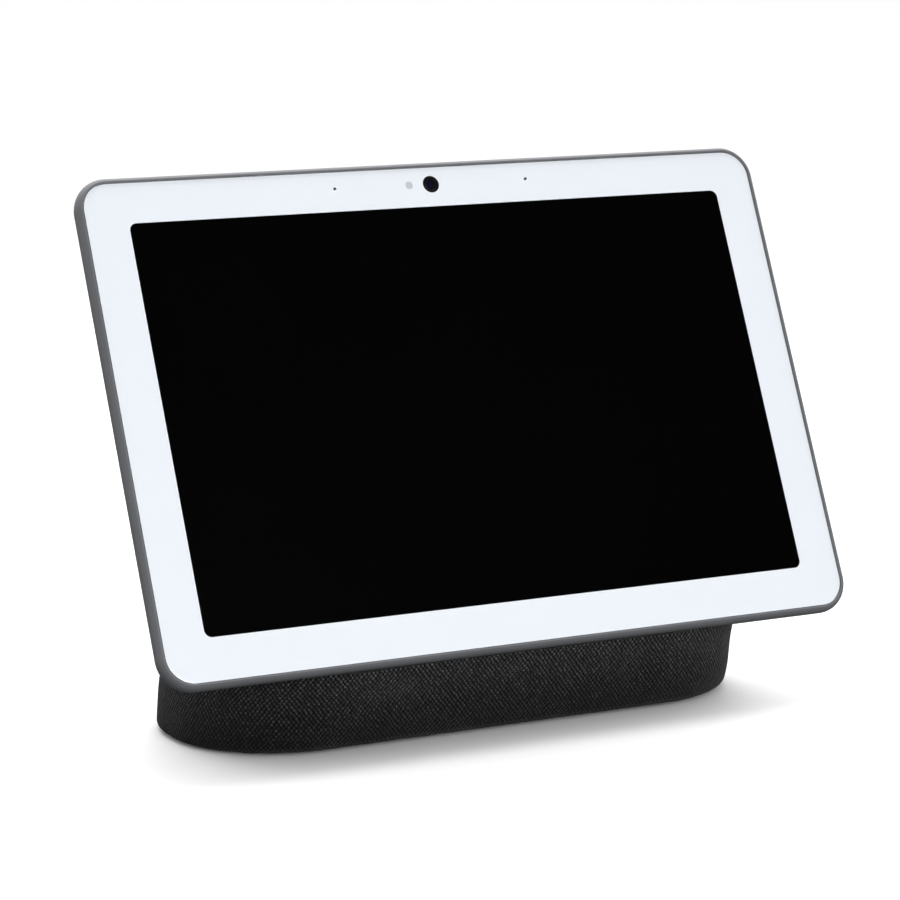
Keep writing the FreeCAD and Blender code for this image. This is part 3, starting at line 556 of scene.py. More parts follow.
def brushed_group():
    """Fine rolled or brushed lines in sheet metal."""

    def build(tree, given):
        drawn = value(tree, "Mapping", Vector=object_place(tree), Scale=(40.0, 900.0, 900.0)).outputs[0]
        return {"Lines": noise(tree, given["Scale"], 4.0, 0.7, drawn), "Tint": noise(tree, 60.0, 3.0)}

    outputs = [("Lines", "Float"), ("Tint", "Float")]
    return effect("Brushed lines", [("Scale", "Float", 4.0)], outputs, build)


# Finishes ---


def shader(name):
    """A new material, its tree and its Principled node."""
    material = bpy.data.materials.new(name)
    material.use_nodes = True
    tree = material.node_tree
    return material, tree, tree.nodes["Principled BSDF"]


def dress(tree, surface, height=None, depth=0.0, **inputs):
    """Feeds a surface's inputs and, where there is a height, its bump."""
    feed_all(tree, surface, inputs)
    if height:
        feed(tree, surface.inputs["Normal"], value(tree, "Bump", Height=height, Distance=depth).outputs[0])


def scaled(colour, factor):
    return tuple(min(1.0, c * factor) for c in colour)


def mottled(tree, share, colour, low, high):
    """A colour that wanders between low and high times itself."""
    return blend_colours(tree, share, scaled(colour, low), scaled(colour, high))


def plastic(name, colour, roughness, grain=2600.0, depth=0.00002, wear=0.25, dust=0.08, shine=0.45):
    """Moulded plastic with a fine grain, handled edges and a little dust."""
    material, tree, surface = shader(name)
    texture = use(tree, grain_group(), Scale=grain)
    shade = mottled(tree, texture["Tint"], colour, 0.86, 1.12)
    shade = blend_colours(tree, times(tree, texture["Speckle"], 0.22), shade, scaled(colour, 1.6))
    worn = use(tree, wear_group(), Radius=0.0005, Amount=wear)["Mask"]
    shade = blend_colours(tree, worn, shade, tuple(1.5 * c + 0.02 for c in colour))
    powder = use(tree, dust_group(), Amount=dust)["Mask"]
    shade = blend_colours(tree, powder, shade, (0.55, 0.54, 0.52))
    polished = sums(tree, "SUBTRACT", roughness, times(tree, worn, 0.18))
    gloss = sums(tree, "ADD", polished, spread(tree, texture["Tint"], 0.5, 0.16))
    dress(tree, surface, texture["Height"], depth, Base_Color=shade, Roughness=gloss)
    dress(tree, surface, Specular_IOR_Level=shine)
    return material


def metal(name, colour, roughness=0.3, scale=4.0):
    """Plated or rolled sheet with fine lines."""
    material, tree, surface = shader(name)
    texture = use(tree, brushed_group(), Scale=scale)
    shade = mottled(tree, texture["Tint"], colour, 0.8, 1.1)
    worn = use(tree, wear_group(), Radius=0.0003, Amount=0.35)["Mask"]
    shade = blend_colours(tree, worn, shade, scaled(colour, 1.5))
    gloss = sums(tree, "ADD", roughness - 0.08, times(tree, texture["Lines"], 0.2))
    dress(tree, surface, texture["Lines"], 0.000004, Base_Color=shade, Roughness=gloss, Metallic=1.0)
    return material


def soft_sheet(name, colour, roughness, grain=1500.0, depth=0.00004, sheen=0.2):
    """Rubber, paper or coated cloth: matt, uneven and a little furry at grazing angles."""
    material, tree, surface = shader(name)
    texture = use(tree, grain_group(), Scale=grain)
    shade = mottled(tree, texture["Tint"], colour, 0.75, 1.25)
    powder = use(tree, dust_group(), Amount=0.12)["Mask"]
    shade = blend_colours(tree, powder, shade, (0.5, 0.49, 0.47))
    gloss = sums(tree, "ADD", roughness, spread(tree, texture["Speckle"], 0.5, 0.2))
    dress(tree, surface, texture["Height"], depth, Base_Color=shade, Roughness=gloss)
    dress(tree, surface, Sheen_Weight=sheen, Sheen_Roughness=0.4)
    return material


def knit_finish():
    """Charcoal stretch knit: the yarn's own colour brightened by a painted highlight, over gaps in painted
    shade, each stitch a little different.
    """
    cloth = bpy.context.scene.smart_display_cloth
    yarn = cloth.yarn_highlight_colour
    material, tree, surface = shader("charcoal_knit")
    spot = value(tree, "UVMap", {"uv_map": "cloth"}).outputs[0]
    stitch = {"Stitch_Width": cloth.stitch_width, "Stitch_Height": cloth.stitch_height}
    knit = use(tree, knit_group(), Cloth=spot, **stitch)
    lit = mottled(tree, knit["Stitch"], yarn, 0.55, 1.6)
    thin = sums(tree, "MULTIPLY_ADD", knit["Fibres"], 4.0, -1.5, clamp=True)
    lit = blend_colours(tree, thin, lit, scaled(yarn, 0.25))
    # Painted shade: the colour darkens towards the floor.
    level = value(tree, "SeparateXYZ", Vector=object_place(tree)).outputs["Z"]
    painted_floor_shade = sums(tree, "MINIMUM", sums(tree, "MULTIPLY_ADD", level, 23.0, 0.07), 1.0)
    # Painted highlight and shade: the raised yarn takes the brightened yarn colour, and the gaps between
    # stitches take the dark painted shade.
    highlight_share = sums(tree, "POWER", sums(tree, "MAXIMUM", knit["Yarn"], 0.0), 1.8)
    shade = blend_colours(tree, times(tree, highlight_share, painted_floor_shade), cloth.gap_shade_colour, lit)
    powder = use(tree, dust_group(), Amount=0.1)["Mask"]
    shade = blend_colours(tree, powder, shade, (0.3, 0.3, 0.3))
    dress(tree, surface, knit["Height"], 0.00035, Base_Color=shade, Roughness=0.95, Specular_IOR_Level=0.08)
    dress(tree, surface, Sheen_Weight=0.1, Sheen_Roughness=0.5)
    return material


def glass_finish():
    """Clear polished glass that lets lamps shine through onto what lies behind it."""
    material, tree, surface = shader("polished_glass")
    white = (1.0, 1.0, 1.0, 1.0)
    dress(tree, surface, Base_Color=white, Roughness=0.0, IOR=1.5, Transmission_Weight=1.0)
    path = value(tree, "LightPath").outputs
    open_way = value(tree, "BsdfTransparent", Color=white).outputs[0]
    rays = sums(tree, "MAXIMUM", path["Is Shadow Ray"], path["Is Diffuse Ray"])
    mix = value(tree, "MixShader", i0=rays, i1=surface.outputs[0], i2=open_way).outputs[0]
    feed(tree, tree.nodes["Material Output"].inputs["Surface"], mix)
    return material


def lens_finish():
    """Coated lens glass: dark, with a violet shimmer towards its edge, painted in as a reflection."""
    material, tree, surface = shader("coated_lens")
    # Painted reflection: the colour turns violet where the lens is seen edge-on.
    facing = value(tree, "LayerWeight", Blend=0.45).outputs["Facing"]
    shade = blend_colours(tree, facing, (0.004, 0.004, 0.008), (0.05, 0.03, 0.10))
    dress(tree, surface, Base_Color=shade, Roughness=0.03, Coat_Weight=1.0, Coat_Roughness=0.02)
    dress(tree, surface, Coat_Tint=(0.75, 0.8, 1.0, 1.0))
    return material


def print_finish():
    """White ink on the back of the glass, faintly cool and a little uneven."""
    material, tree, surface = shader("white_print")
    texture = use(tree, grain_group(), Scale=900.0)
    colour = bpy.context.scene.smart_display_display.bezel_colour
    shade = mottled(tree, texture["Tint"], colour, 0.985, 1.01)
    dress(tree, surface, texture["Height"], 0.000001, Base_Color=shade, Roughness=0.55)
    return material


def screen_finish():
    """A switched-off panel: black with a fine even speckle and a clear gloss."""
    material, tree, surface = shader("screen_black")
    texture = use(tree, grain_group(), Scale=5200.0)
    shade = blend_colours(tree, texture["Speckle"], (0.0002, 0.0002, 0.0003), (0.0009, 0.0009, 0.0011))
    dress(tree, surface, Base_Color=shade, Roughness=0.16, Specular_IOR_Level=0.12)
    return material


def board_finish():
    """Green solder mask over copper tracks."""
    material, tree, surface = shader("circuit_board")
    sizes = {"Scale": 260.0, "Mortar_Size": 0.12}
    brick = value(tree, "TexBrick", {"offset": 0.5}, Vector=object_place(tree), **sizes)
    tracks = brick.outputs["Fac"]
    shade = blend_colours(tree, tracks, (0.012, 0.075, 0.045), (0.03, 0.15, 0.09))
    texture = use(tree, grain_group(), Scale=1200.0)
    shade = blend_colours(tree, times(tree, texture["Tint"], 0.3), shade, (0.01, 0.05, 0.03))
    dress(tree, surface, tracks, 0.00003, Base_Color=shade, Roughness=0.32)
    return material


def film_finish(name, colour, roughness):
    """A thin coloured film or diffuser with a soft cloud in it."""
    material, tree, surface = shader(name)
    texture = use(tree, grain_group(), Scale=1800.0)
    shade = mottled(tree, texture["Tint"], colour, 0.93, 1.05)
    dress(tree, surface, texture["Height"], 0.000003, Base_Color=shade, Roughness=roughness)
    return material


@functools.cache
def finishes():
    """Every finish, by the name that the pieces ask for."""
    grey = bpy.context.scene.smart_display_display.housing_colour
    dull = (0.0025, 0.0025, 0.003)
    return {
        "housing": plastic("housing_grey", grey, 0.46, 2300.0, 0.000025),
        "button": plastic("button_grey", scaled(grey, 0.72), 0.42, 2300.0, 0.00002, wear=0.5),
        "inner": plastic("inner_black", (0.02, 0.02, 0.022), 0.5, wear=0.1),
        "port": plastic("port_grey", (0.03, 0.031, 0.034), 0.48, wear=0.3),
        "black": plastic("camera_black", dull, 0.6, 3200.0, wear=0.9, dust=0.0, shine=0.1),
        "chip": plastic("chip_black", (0.012, 0.012, 0.013), 0.55, 3800.0, wear=0.1),
        "wire": plastic("lead_vinyl", (0.015, 0.015, 0.016), 0.4, wear=0.0),
        "floor": plastic("floor_grey", (0.06, 0.061, 0.065), 0.55),
        "clear": film_finish("clear_acrylic", (0.75, 0.78, 0.78), 0.1),
        "diffuser": film_finish("milky_diffuser", (0.6, 0.63, 0.66), 0.35),
        "flag": film_finish("orange_film", (0.75, 0.13, 0.02), 0.45),
        "contact": metal("gold_contact", (0.85, 0.62, 0.26), 0.25, 9.0),
        "copper": metal("copper_foil", (0.72, 0.36, 0.2), 0.3, 6.0),
        "steel": metal("zinc_steel", (0.55, 0.55, 0.56), 0.32),
        "tin": metal("tinned_steel", (0.66, 0.66, 0.65), 0.36, 7.0),
        "dark_steel": metal("blackened_steel", (0.09, 0.09, 0.095), 0.36, 7.0),
        "aluminium": metal("rolled_aluminium", (0.7, 0.71, 0.72), 0.34, 3.0),
        "ferrite": plastic("ground_ferrite", (0.035, 0.035, 0.036), 0.6, 1200.0, 0.00005, wear=0.4),
        "powder": plastic("powder_coat", (0.018, 0.018, 0.02), 0.55, 1500.0, 0.00005),
        "rubber": soft_sheet("black_rubber", (0.012, 0.012, 0.013), 0.8),
        "foot": soft_sheet("grey_silicone", (0.055, 0.056, 0.06), 0.72, 2000.0, 0.00002),
        "paper": soft_sheet("pressed_paper", (0.03, 0.03, 0.031), 0.9, 1100.0, 0.00009),
        "spider": soft_sheet("amber_cloth", (0.42, 0.24, 0.07), 0.8, 1400.0, 0.00008, 0.3),
        "silk": soft_sheet("coated_silk", (0.03, 0.03, 0.034), 0.6, 2400.0, 0.00003, 0.3),
        "knit": knit_finish(),
        "glass": glass_finish(),
        "lens": lens_finish(),
        "print": print_finish(),
        "screen": screen_finish(),
        "board": board_finish(),
    }


# The display ---


def glass_ring(inset, depth, steps):
    ring = outline(GLASS_HALF_W - inset, GLASS_HALF_H - inset, GLASS_CORNER - inset, steps)
    return at_height(ring, -depth)


class AddGlass(bpy.types.Operator):
    """Adds the cover glass, with its rolled front edge and microphone holes"""

    bl_idname = "smart_display.add_glass"
    bl_label = "Cover glass"

    def execute(self, context):
        steps = context.scene.smart_display_display.corner_steps
        edge = [(0.60, 0.0), (0.40, 0.012), (0.22, 0.05), (0.09, 0.12), (0.02, 0.22), (0.0, 0.34)]
        edge += [(0.0, 0.70), (0.03, 0.76), (0.10, GLASS_T)]
        pane = skin("glass_pane", [glass_ring(inset, depth, steps) for inset, depth in edge])
        holes = [rod("hole", MIC_HOLE_R, -2, 1, (side * MIC_X, SENSOR_LINE)) for side in (-1, 1)]
        smooth(place(cut(pane, *holes), DISPLAY), 40)
        hand_over(pane, "base", "cover_glass", finishes()["glass"], "cover_glass")
        return {"FINISHED"}


def housing_ring(out, depth, steps):
    corner = GLASS_CORNER + (out if out > 0 else out * 0.25)
    return at_height(outline(GLASS_HALF_W + out, GLASS_HALF_H + out, corner, steps), -depth)


def display_solid(grow, steps):
    """The display's outside grown by a gap, with all that is in front of it, for cutting the base."""
    section = [p for p in smooth_line(HOUSING_SECTION, 3) if p[1] >= 3.0]
    rings = [housing_ring(section[0][0] + grow, -60.0, steps)]
    rings += [housing_ring(out + grow, depth, steps) for out, depth in section]
    rings += [housing_ring(HOUSING_SECTION[-1][0] + grow, HOUSING_BACK + grow, steps)]
    return place(skin("cutter", rings), DISPLAY)


class AddHousing(bpy.types.Operator):
    """Adds the moulded housing that holds the glass and closes the display's back"""

    bl_idname = "smart_display.add_housing"
    bl_label = "Housing"

    def execute(self, context):
        steps = context.scene.smart_display_display.corner_steps
        inside = [(-30.0, HOUSING_FLOOR), (-6.1, HOUSING_FLOOR), (-6.1, 6.0)]
        inside += [(-1.2, 6.0), (-1.2, 1.3), (0.15, 1.3)]
        section = inside + smooth_line(HOUSING_SECTION, 4)
        shell = skin("housing_shell", [housing_ring(out, depth, steps) for out, depth in section])
        openings = [
            (ROCKER_W / 2 + 0.35, ROCKER_L / 2 + 0.35, 2.84, 12, (ROCKER_X, ROCKER_V)),
            (KNOB_W / 2 + SLIDER_TRAVEL / 2 + 0.2, KNOB_H / 2 + 0.25, 1.4, 8, (0, SLIDER_V)),
            (14.0, 3.0, 2.0, 8, (0, BRACKET_V)),
        ]
        tools = [slab("cutter", w, h, r, *HOUSING_CUT, turns, spot) for w, h, r, turns, spot in openings]
        for x in (-BRACKET_HOLE_X, BRACKET_HOLE_X):
            for v in (BRACKET_V - BRACKET_HOLE_V, BRACKET_V + BRACKET_HOLE_V):
                tools.append(rod("cutter", 1.7, *HOUSING_CUT, (x, v)))
        smooth(place(cut(shell, *tools), DISPLAY), 35)
        hand_over(shell, "base", "housing_plastic", finishes()["housing"], "display_housing")
        return {"FINISHED"}


class AddControls(bpy.types.Operator):
    """Adds the volume rocker and the mute slider"""

    bl_idname = "smart_display.add_controls"
    bl_label = "Controls"

    def execute(self, context):
        made = finishes()
        self.add_rocker(made)
        self.add_slider(made)
        return {"FINISHED"}

    def add_rocker(self, made):
        half_w, half_l, top, roll = ROCKER_W / 2, ROCKER_L / 2, HOUSING_BACK + 1.0, 0.8

        def ring(drawn, depth):
            corner = max(half_w - 0.05 - drawn, 0.02)
            return at_height(outline(half_w - drawn, half_l - drawn, corner, 16, 10), -depth)

        turns = [math.radians(90 * k / 7) for k in range(8)]
        rings = [ring(0.0, 7.9)]
        rings += [ring(roll * (1 - math.cos(a)), top - roll * (1 - math.sin(a))) for a in turns]
        rings += [ring(drawn, top) for drawn in (1.2, 1.7, 2.1, 2.42)]
        body = skin("volume_key", rings)
        # Its top sinks a little towards the middle, where the finger finds it.
        for vertex in body.data.vertices:
            if vertex.co.z < -(top - 0.3) * MM:
                vertex.co.z += MM * ROCKER_DIP * math.exp(-((vertex.co.y / MM / ROCKER_DIP_L) ** 2))
        hub = rounded_slab("hub", 2.3, 1.6, 0.3, -9.2, -7.4, 0.15)
        piece = merged("volume_key", [body, hub])
        place(piece, DISPLAY @ Matrix.Translation(Vector((ROCKER_X, ROCKER_V, 0)) * MM))
        hand_over(smooth(piece), "volume_rocker", "housing_plastic", made["button"], "volume_rocker")

    def add_slider(self, made):
        rest, top = -SLIDER_TRAVEL / 2, HOUSING_BACK + 0.7
        knob = rounded_slab("knob", KNOB_W / 2, KNOB_H / 2, 1.25, -top, -9.2, 0.35, 12, (rest, SLIDER_V))
        grooves = []
        for x in (rest - 1.5, rest, rest + 1.5):
            grooves.append(slab("cutter", 0.25, 1.5, 0.24, -top - 1, -top + 0.22, 8, (x, SLIDER_V)))
        cut(knob, *grooves)
        tongue = rounded_slab("tongue", 7.5, 3.2, 0.4, -9.25, -8.55, 0.1, 6, (-1.8, SLIDER_V))
        piece = place(merged("mute_key", [knob, tongue]), DISPLAY)
        hand_over(smooth(piece), "mute_slider", "housing_plastic", made["button"], "mute_slider")


class AddCamera(bpy.types.Operator):
    """Adds the camera behind the glass: a stepped black cone and its lens"""

    bl_idname = "smart_display.add_camera"
    bl_label = "Camera"

    def execute(self, context):
        made = finishes()
        section = [(1.5, -1.30), (1.5, -1.16), (1.72, -1.16), (1.78, -1.02), (2.02, -1.02), (2.08, -0.90)]
        section += [(2.45, -0.90), (2.52, -0.83), (2.9, -0.83), (2.9, -1.30)]
        cone = place(turned("camera_cone", section, 72, (0, SENSOR_LINE)), DISPLAY)
        hand_over(smooth(cone), "base", "camera_black", made["black"], "camera_ring")
        turns = [math.radians(a) for a in range(0, 90, 9)]
        dome = [(1.5, -1.95)]
        dome += [(1.5 * math.cos(a), -1.75 + 0.3 * math.sin(a)) for a in turns]
        dome += [(0.02, -1.45)]
        rings = [at_height(circle(r, 56, (0, SENSOR_LINE)), z) for r, z in dome]
        lens = place(skin("camera_lens_front", rings), DISPLAY)
        hand_over(smooth(lens), "base", "lens_glass", made["lens"], "camera_lens")
        return {"FINISHED"}


# The base ---


@functools.cache
def base_line():
    """A smooth line through the base's levels."""
    return smooth_line(BASE_LEVELS, 10)


def level_at(z):
    """The base's front, back and half width at a height."""
    for row, following in zip(base_line(), base_line()[1:]):
        if z <= following[0]:
            t = (z - row[0]) / (following[0] - row[0])
            return [a + (b - a) * t for a, b in zip(row[1:], following[1:])]
    return list(base_line()[-1][1:])


def base_ring(z, inset=0.0, steps=BASE_STEPS, sides=BASE_SIDES):
    front, back, half_w = level_at(z)
    half_d = (back - front) / 2 - inset
    corner = BASE_CORNER * (back - front) / 2 - inset
    return at_height(outline(half_w - inset, half_d, corner, steps, sides, (0, (front + back) / 2)), z)


def ring_length(ring):
    """The distance along a ring up to each of its points, and all the way round."""
    lengths = [0.0]
    for a, b in zip(ring, ring[1:] + ring[:1]):
        lengths.append(lengths[-1] + (b - a).length)
    return lengths


class AddSleeve(bpy.types.Operator):
    """Adds the knitted sleeve, stretched over the base and turned under its bottom edge"""

    bl_idname = "smart_display.add_sleeve"
    bl_label = "Knitted sleeve"

    hem = 10.0
    bottom = 0.6
    bottom_round = 2.6
    display_gap = 0.3
    back = BASE_STEPS + BASE_SIDES // 2

    def from_the_back(self, ring):
        """The ring's points, starting at the middle of its back."""
        return ring[self.back:] + ring[:self.back]

    def outer_rings(self):
        rings = [at_height(base_ring(self.bottom, self.hem), self.bottom + 0.05)]
        rings += [at_height(base_ring(self.bottom, inset), self.bottom) for inset in (8.5, 6.0, 4.0)]
        for k in range(9):
            a = math.radians(90 * k / 8)
            z = self.bottom + self.bottom_round * (1 - math.cos(a))
            rings.append(base_ring(z, self.bottom_round * (1 - math.sin(a))))
        heights = [4.2 + 1.6 * k for k in range(75)]
        return rings + [base_ring(z) for z in heights] + [base_ring(123.4)]

    def inner_rings(self, thickness):
        heights = [2.4, 4.0, 8.0] + [14.0 + 6.0 * k for k in range(18)]
        rings = [base_ring(z, thickness) for z in heights]
        low = at_height(base_ring(self.bottom, 3.0), self.bottom + thickness)
        hem = at_height(base_ring(self.bottom, self.hem), self.bottom + thickness)
        return [hem, low] + rings + [at_height(base_ring(121.6, thickness), 122.2)]

    def execute(self, context):
        thickness = context.scene.smart_display_cloth.thickness / MM
        outer = [self.from_the_back(ring) for ring in self.outer_rings()]
        inner = [self.from_the_back(ring) for ring in self.inner_rings(thickness)]
        along = [[0.0] * len(outer[0])]
        for a, b in zip(outer, outer[1:]):
            along.append([far + (q - p).length for far, p, q in zip(along[-1], a, b)])
        around = [ring_length(ring) for ring in outer]
        full_half = ring_length(base_ring(14.0))[-1] / 2
        rings = outer + inner[::-1]

        def cloth_place(i, k):
            """Columns stand upright at the front and share out the spare cloth towards the back."""
            i = min(i, len(outer) - 1)
            half = around[i][-1] / 2
            across = around[i][k] - half
            across += (full_half - half) * (across / half) ** 3
            return (across * MM, along[i][k % len(along[i])] * MM)

        sleeve = self.shell(rings, len(outer), cloth_place)
        front = display_solid(self.display_gap, 20)
        port = slab("cutter", PORT_W / 2 + 0.2, PORT_H / 2 + 0.2, PORT_H / 2 + 0.19, -60, -40, 20)
        place(port, Matrix.Translation((0, 0, PORT_Z * MM)) @ Matrix.Rotation(math.pi / 2, 4, "X"))
        cut(sleeve, front, port)
        smooth(sleeve, 50)
        hand_over(sleeve, "base", "charcoal_knit", finishes()["knit"], "fabric_sleeve")
        return {"FINISHED"}

    def shell(self, rings, outer_count, uv):
        """A closed skin, open nowhere: both the outer and the inner cloth are capped at the top."""
        count = len(rings[0])
        top = outer_count - 1
        faces, spots = [], []
        for i in range(len(rings)):
            if i != top:
                faces += band(i, (i + 1) % len(rings), count)
                up = i + 1 if i < top else i
                for k in range(count):
                    spots += [uv(i, k), uv(i, k + 1), uv(up, k + 1), uv(up, k)]
        for i in (top, outer_count):
            faces.append(tuple(range(i * count, (i + 1) * count)))
            spots += [uv(top, k) for k in range(count)]
        mesh = bpy.data.meshes.new("knit_sleeve")
        mesh.from_pydata([p * MM for ring in rings for p in ring], [], faces)
        layer = mesh.uv_layers.new(name="cloth")
        layer.data.foreach_set("uv", [c for spot in spots for c in spot])
        tidy_faces(mesh)
        return new_piece("knit_sleeve", mesh)


class AddFoot(bpy.types.Operator):
    """Adds the silicone foot, a flat ring with rolled edges round a shallow recess"""

    bl_idname = "smart_display.add_foot"
    bl_label = "Foot"

    def execute(self, context):
        profile = [(34.0, 1.6), (10.5, 1.6), (10.5, 0.45), (10.63, 0.14), (10.95, 0.0), (17.4, 0.0)]
        profile += [(17.75, 0.14), (17.9, 0.45), (18.1, 0.72), (18.5, 0.8), (34.0, 0.8)]
        foot = skin("silicone_foot", [at_height(base_ring(0.6, inset, 20, 2), z) for inset, z in profile])
        hand_over(smooth(foot), "base", "foot_rubber", finishes()["foot"], "rubber_foot")
        return {"FINISHED"}


class AddPorts(bpy.types.Operator):
    """Adds the socket plate with its power jack and data socket"""

    bl_idname = "smart_display.add_ports"
    bl_label = "Sockets"

    back = Matrix.Translation((0, PORT_FACE_Y * MM, PORT_Z * MM)) @ Matrix.Rotation(-math.pi / 2, 4, "X")

    def execute(self, context):
        made = finishes()
        self.add_plate(made)
        self.add_jack(made)
        self.add_data_socket(made)
        return {"FINISHED"}

    def add_plate(self, made):
        half_w, half_h = PORT_W / 2, PORT_H / 2
        plate = rounded_slab("socket_plate", half_w, half_h, half_h - 0.01, -3.8, 0.0, 0.35, 20, both=False)
        flange = slab("flange", half_w + 2, half_h + 2, half_h + 1.99, -5.3, -3.8, 20)
        well = [(DC_WELL_R, -DC_WELL_DEPTH), (DC_WELL_R, -0.35)]
        well += [(DC_WELL_R + 0.35, 0.02), (DC_WELL_R + 0.4, 1.0)]
        tools = [
            skin("cutter", [at_height(circle(r, 56, (DC_X, 0)), z) for r, z in well]),
            rounded_slab("cutter", 6.2, 3.2, 3.1, -1.2, 1.0, 0.12, 12, (USB_X, 0)),
            slab("cutter", 4.9, 2.0, 1.9, -4.5, 0.5, 12, (USB_X, 0)),
        ]
        cut(plate, *tools)
        power_way = rod("cutter", DC_HOLE_R + 0.5, -6, -3, (DC_X, 0), 48)
        cut(flange, power_way, slab("cutter", 4.9, 2.0, 1.9, -6, -3, 12, (USB_X, 0)))
        piece = place(merged("socket_plate", [plate, flange]), self.back)
        hand_over(smooth(piece), "base", "port_plastic", made["port"], "port_plate")

    def add_jack(self, made):
        bore, nose, mouth = DC_HOLE_R, DC_HOLE_R + 0.3, -3.9
        barrel = [(bore, -13.5), (bore, mouth - 0.25), (bore + 0.12, mouth), (nose - 0.08, mouth)]
        barrel += [(nose, mouth - 0.1), (nose, -5.4), (4.5, -5.45), (4.5, -15.4)]
        barrel += [(1.2, -15.4), (1.2, -13.5)]
        body = turned("power_jack", barrel, 64, (DC_X, 0))
        pin = [(0.98, -15.4), (0.98, -5.2)]
        turns = [math.radians(a) for a in (15, 30, 45, 60, 75)]
        pin += [(0.98 * math.cos(a), -5.2 + 0.6 * math.sin(a)) for a in turns]
        pin += [(0.02, -4.6)]
        stem = skin("power_jack_pin", [at_height(circle(r, 32, (DC_X, 0)), z) for r, z in pin])
        hand_over(smooth(place(body, self.back)), "base", "port_black", made["black"], "dc_socket")
        hand_over(smooth(place(stem, self.back)), "base", "can_metal", made["tin"])

    def add_data_socket(self, made):
        shape = [(4.15, 1.28, -9.8), (4.15, 1.28, -3.15), (4.22, 1.34, -2.95), (4.4, 1.5, -2.9)]
        shape += [(4.47, 1.58, -3.05), (4.47, 1.58, -10.3)]
        rings = [at_height(outline(w, h, h - 0.05, 12, 1, (USB_X, 0)), z) for w, h, z in shape]
        rings += [at_height(outline(0.6, 0.3, 0.2, 12, 1, (USB_X, 0)), z) for z in (-10.3, -9.8)]
        shell = skin("data_socket", rings, closed=True)
        hand_over(smooth(place(shell, self.back)), "base", "can_metal", made["tin"], "usb_socket")
        tongue = rounded_slab("data_tongue", 3.3, 0.35, 0.3, -9.8, -4.1, 0.12, 6, (USB_X, 0))
        hand_over(smooth(place(tongue, self.back)), "base", "port_black", made["chip"])
        strips = []
        for y in (-0.37, 0.37):
            for k in range(12):
                x = USB_X - 2.75 + 0.5 * k
                strips.append(rounded_slab("strip", 0.13, 0.03, 0.02, -8.6, -4.5, 0.01, 2, (x, y)))
        contacts = place(merged("data_contacts", strips), self.back)
        hand_over(smooth(contacts), "base", "copper_foil", made["contact"])


# Pieces whose CAD shape stays, by finish ---

CARRIED = {
    "print": ["bezel_print"],
    "screen": ["lcd_panel"],
    "clear": ["light_guide"],
    "diffuser": ["light_pipe", "status_led"],
    "flag": ["mute_flag"],
    "inner": ["mid_frame", "base_shell", "tweeter_frames"],
    "floor": ["base_floor"],
    "black": ["camera_barrel", "panel_tape"],
    "chip": ["board_components", "volume_switches", "mute_switch", "power_parts"],
    "wire": ["speaker_leads"],
    "board": ["sensor_board", "main_board", "button_boards", "power_board"],
    "tin": ["microphones", "board_shields"],
    "aluminium": ["backlight_tray", "heat_spreader"],
    "steel": ["display_bracket", "woofer_top_plate", "woofer_yoke", "tweeter_motors"],
    "dark_steel": ["board_screws", "bracket_screws", "base_screws", "power_screws"]
    + ["woofer_screws", "rocker_pin"],
    "copper": ["antennas", "signal_flex", "woofer_coil"],
    "ferrite": ["woofer_magnet"],
    "powder": ["woofer_basket"],
    "rubber": ["mic_seals", "thermal_pads", "woofer_gasket", "woofer_surround"],
    "paper": ["woofer_cone", "woofer_dust_cap"],
    "spider": ["woofer_spider"],
    "silk": ["right_tweeter_dome", "left_tweeter_dome"],
}


class FinishCarried(bpy.types.Operator):
    """Gives each piece that keeps its shape its own finish"""

    bl_idname = "smart_display.finish_carried"
    bl_label = "Carried pieces"

    def execute(self, context):
        made = finishes()
        for finish, nodes in CARRIED.items():
            for name in nodes:
                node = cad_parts[name]
                for material_slot in node.material_slots:
                    material_slot.material = made[finish]
        return {"FINISHED"}


# The stage ---


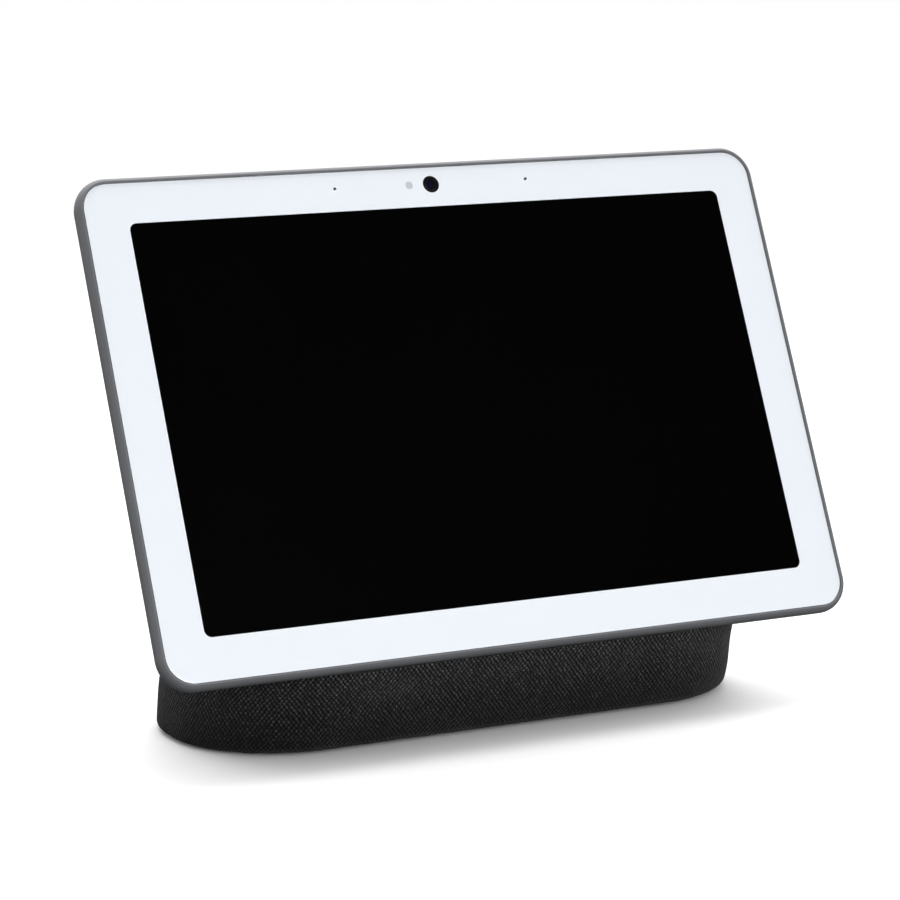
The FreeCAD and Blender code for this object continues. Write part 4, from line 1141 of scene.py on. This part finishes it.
class AddStage(bpy.types.Operator):
    """Adds the camera, the pale floor, the lamps and the room's light"""

    bl_idname = "smart_display.add_stage"
    bl_label = "Stage"

    # The camera's place from the middle of the glass, and the point on the glass that it looks at.
    camera_from = Vector((-466.74, -921.43, 151.0)) * MM
    looks_at = Vector((-13.02, -6.32, -14.5)) * MM
    camera_roll = math.radians(0.877)

    def execute(self, context):
        stage = context.scene.smart_display_stage
        self.add_camera(context, stage)
        self.add_floor(stage)
        self.add_lamps(stage)
        self.light_room(context, stage)
        context.scene.view_settings.view_transform = "Standard"
        return {"FINISHED"}

    def add_camera(self, context, stage):
        lens = bpy.data.cameras.new("camera")
        lens.lens, lens.sensor_width = stage.lens, 36.0
        lens.clip_start, lens.clip_end = 0.01, 60.0
        camera = bpy.data.objects.new("camera", lens)
        context.scene.collection.objects.link(camera)
        view = self.looks_at - self.camera_from
        turn = view.to_track_quat("-Z", "Y").to_matrix().to_4x4()
        roll = Matrix.Rotation(-self.camera_roll, 4, "Z")
        camera.matrix_world = Matrix.Translation(GLASS_CENTRE + self.camera_from) @ turn @ roll
        context.scene.camera = camera

    def add_floor(self, stage):
        half = stage.floor_size / 2
        mesh = bpy.data.meshes.new("floor")
        corners = [(-half, -half, 0), (half, -half, 0), (half, half, 0), (-half, half, 0)]
        mesh.from_pydata(corners, [], [(0, 1, 2, 3)])
        floor = new_piece("floor", mesh)
        material, tree, surface = shader("pale_floor")
        texture = use(tree, grain_group(), Scale=60.0)
        shade = blend_colours(tree, texture["Tint"], (0.93, 0.93, 0.93), (0.96, 0.96, 0.96))
        seen = value(tree, "LightPath").outputs["Is Camera Ray"]
        shade = blend_colours(tree, seen, (0.07, 0.07, 0.07), shade)
        dress(tree, surface, Base_Color=shade, Roughness=0.9, Specular_IOR_Level=0.1)
        mesh.materials.append(material)

    def add_lamps(self, stage):
        lamps = [
            ("top_lamp", (0.1, 0.55, 1.2), 1.4, stage.top_power),
            ("front_lamp", (0.0, -1.6, 0.34), 0.7, stage.front_power),
        ]
        for name, spot, size, power in lamps:
            light = bpy.data.lights.new(name, "AREA")
            light.shape, light.size, light.energy = "SQUARE", size, power
            lamp = bpy.data.objects.new(name, light)
            bpy.context.scene.collection.objects.link(lamp)
            lamp.location = spot
            aim = Vector((0, 0, 0.09)) - Vector(spot)
            lamp.rotation_mode = "QUATERNION"
            lamp.rotation_quaternion = aim.to_track_quat("-Z", "Y")

    def light_room(self, context, stage):
        """White to look at, softer as light, and darker as a reflection."""
        room = bpy.data.worlds.new("room")
        room.use_nodes = True
        tree = room.node_tree
        path = value(tree, "LightPath").outputs
        towards = value(tree, "TexCoord").outputs["Generated"]
        right, back, _ = value(tree, "SeparateXYZ", Vector=towards).outputs
        behind = sums(tree, "MULTIPLY_ADD", back, 1.1, 0.35, clamp=True)
        mirrored = sums(tree, "ADD", behind, stage.front_reflection)
        side = sums(tree, "MULTIPLY_ADD", back, 0.6, sums(tree, "MULTIPLY_ADD", right, 0.45, 1.0))
        lit = times(tree, side, stage.room_light)
        glossy = value(tree, "Mix", Factor=path["Is Glossy Ray"], A=lit, B=mirrored).outputs[0]
        strength = value(tree, "Mix", Factor=path["Is Camera Ray"], A=glossy, B=1.0).outputs[0]
        backdrop = tree.nodes["Background"]
        backdrop.inputs["Color"].default_value = (1.0, 1.0, 1.0, 1.0)
        tree.links.new(strength, backdrop.inputs["Strength"])
        context.scene.world = room


# The panel and the run ---

STEPS = [AddStage, AddGlass, AddHousing, AddControls, AddCamera]
STEPS += [AddSleeve, AddFoot, AddPorts, FinishCarried]
SETTINGS = [("stage", StageSettings), ("display", DisplaySettings), ("cloth", ClothSettings)]


class SmartDisplayPanel(bpy.types.Panel):
    """The builder's steps and settings"""

    bl_idname = "VIEW3D_PT_smart_display"
    bl_label = "Smart Display"
    bl_space_type = "VIEW_3D"
    bl_region_type = "UI"
    bl_category = "Smart Display"

    def draw(self, context):
        for step in STEPS:
            self.layout.operator(step.bl_idname, text=step.bl_label)
        for name, settings in SETTINGS:
            box = self.layout.box()
            for key in settings.__annotations__:
                box.prop(getattr(context.scene, "smart_display_" + name), key)


def register():
    for name, settings in SETTINGS:
        bpy.utils.register_class(settings)
        setattr(bpy.types.Scene, "smart_display_" + name, PointerProperty(type=settings))
    for part in [*STEPS, SmartDisplayPanel]:
        bpy.utils.register_class(part)


def unregister():
    for part in reversed([*STEPS, SmartDisplayPanel]):
        bpy.utils.unregister_class(part)
    for name, settings in reversed(SETTINGS):
        delattr(bpy.types.Scene, "smart_display_" + name)
        bpy.utils.unregister_class(settings)


def main():
    register()
    for step in STEPS:
        group, name = step.bl_idname.split(".")
        getattr(getattr(bpy.ops, group), name)()


if __name__ == "__main__":
    main()
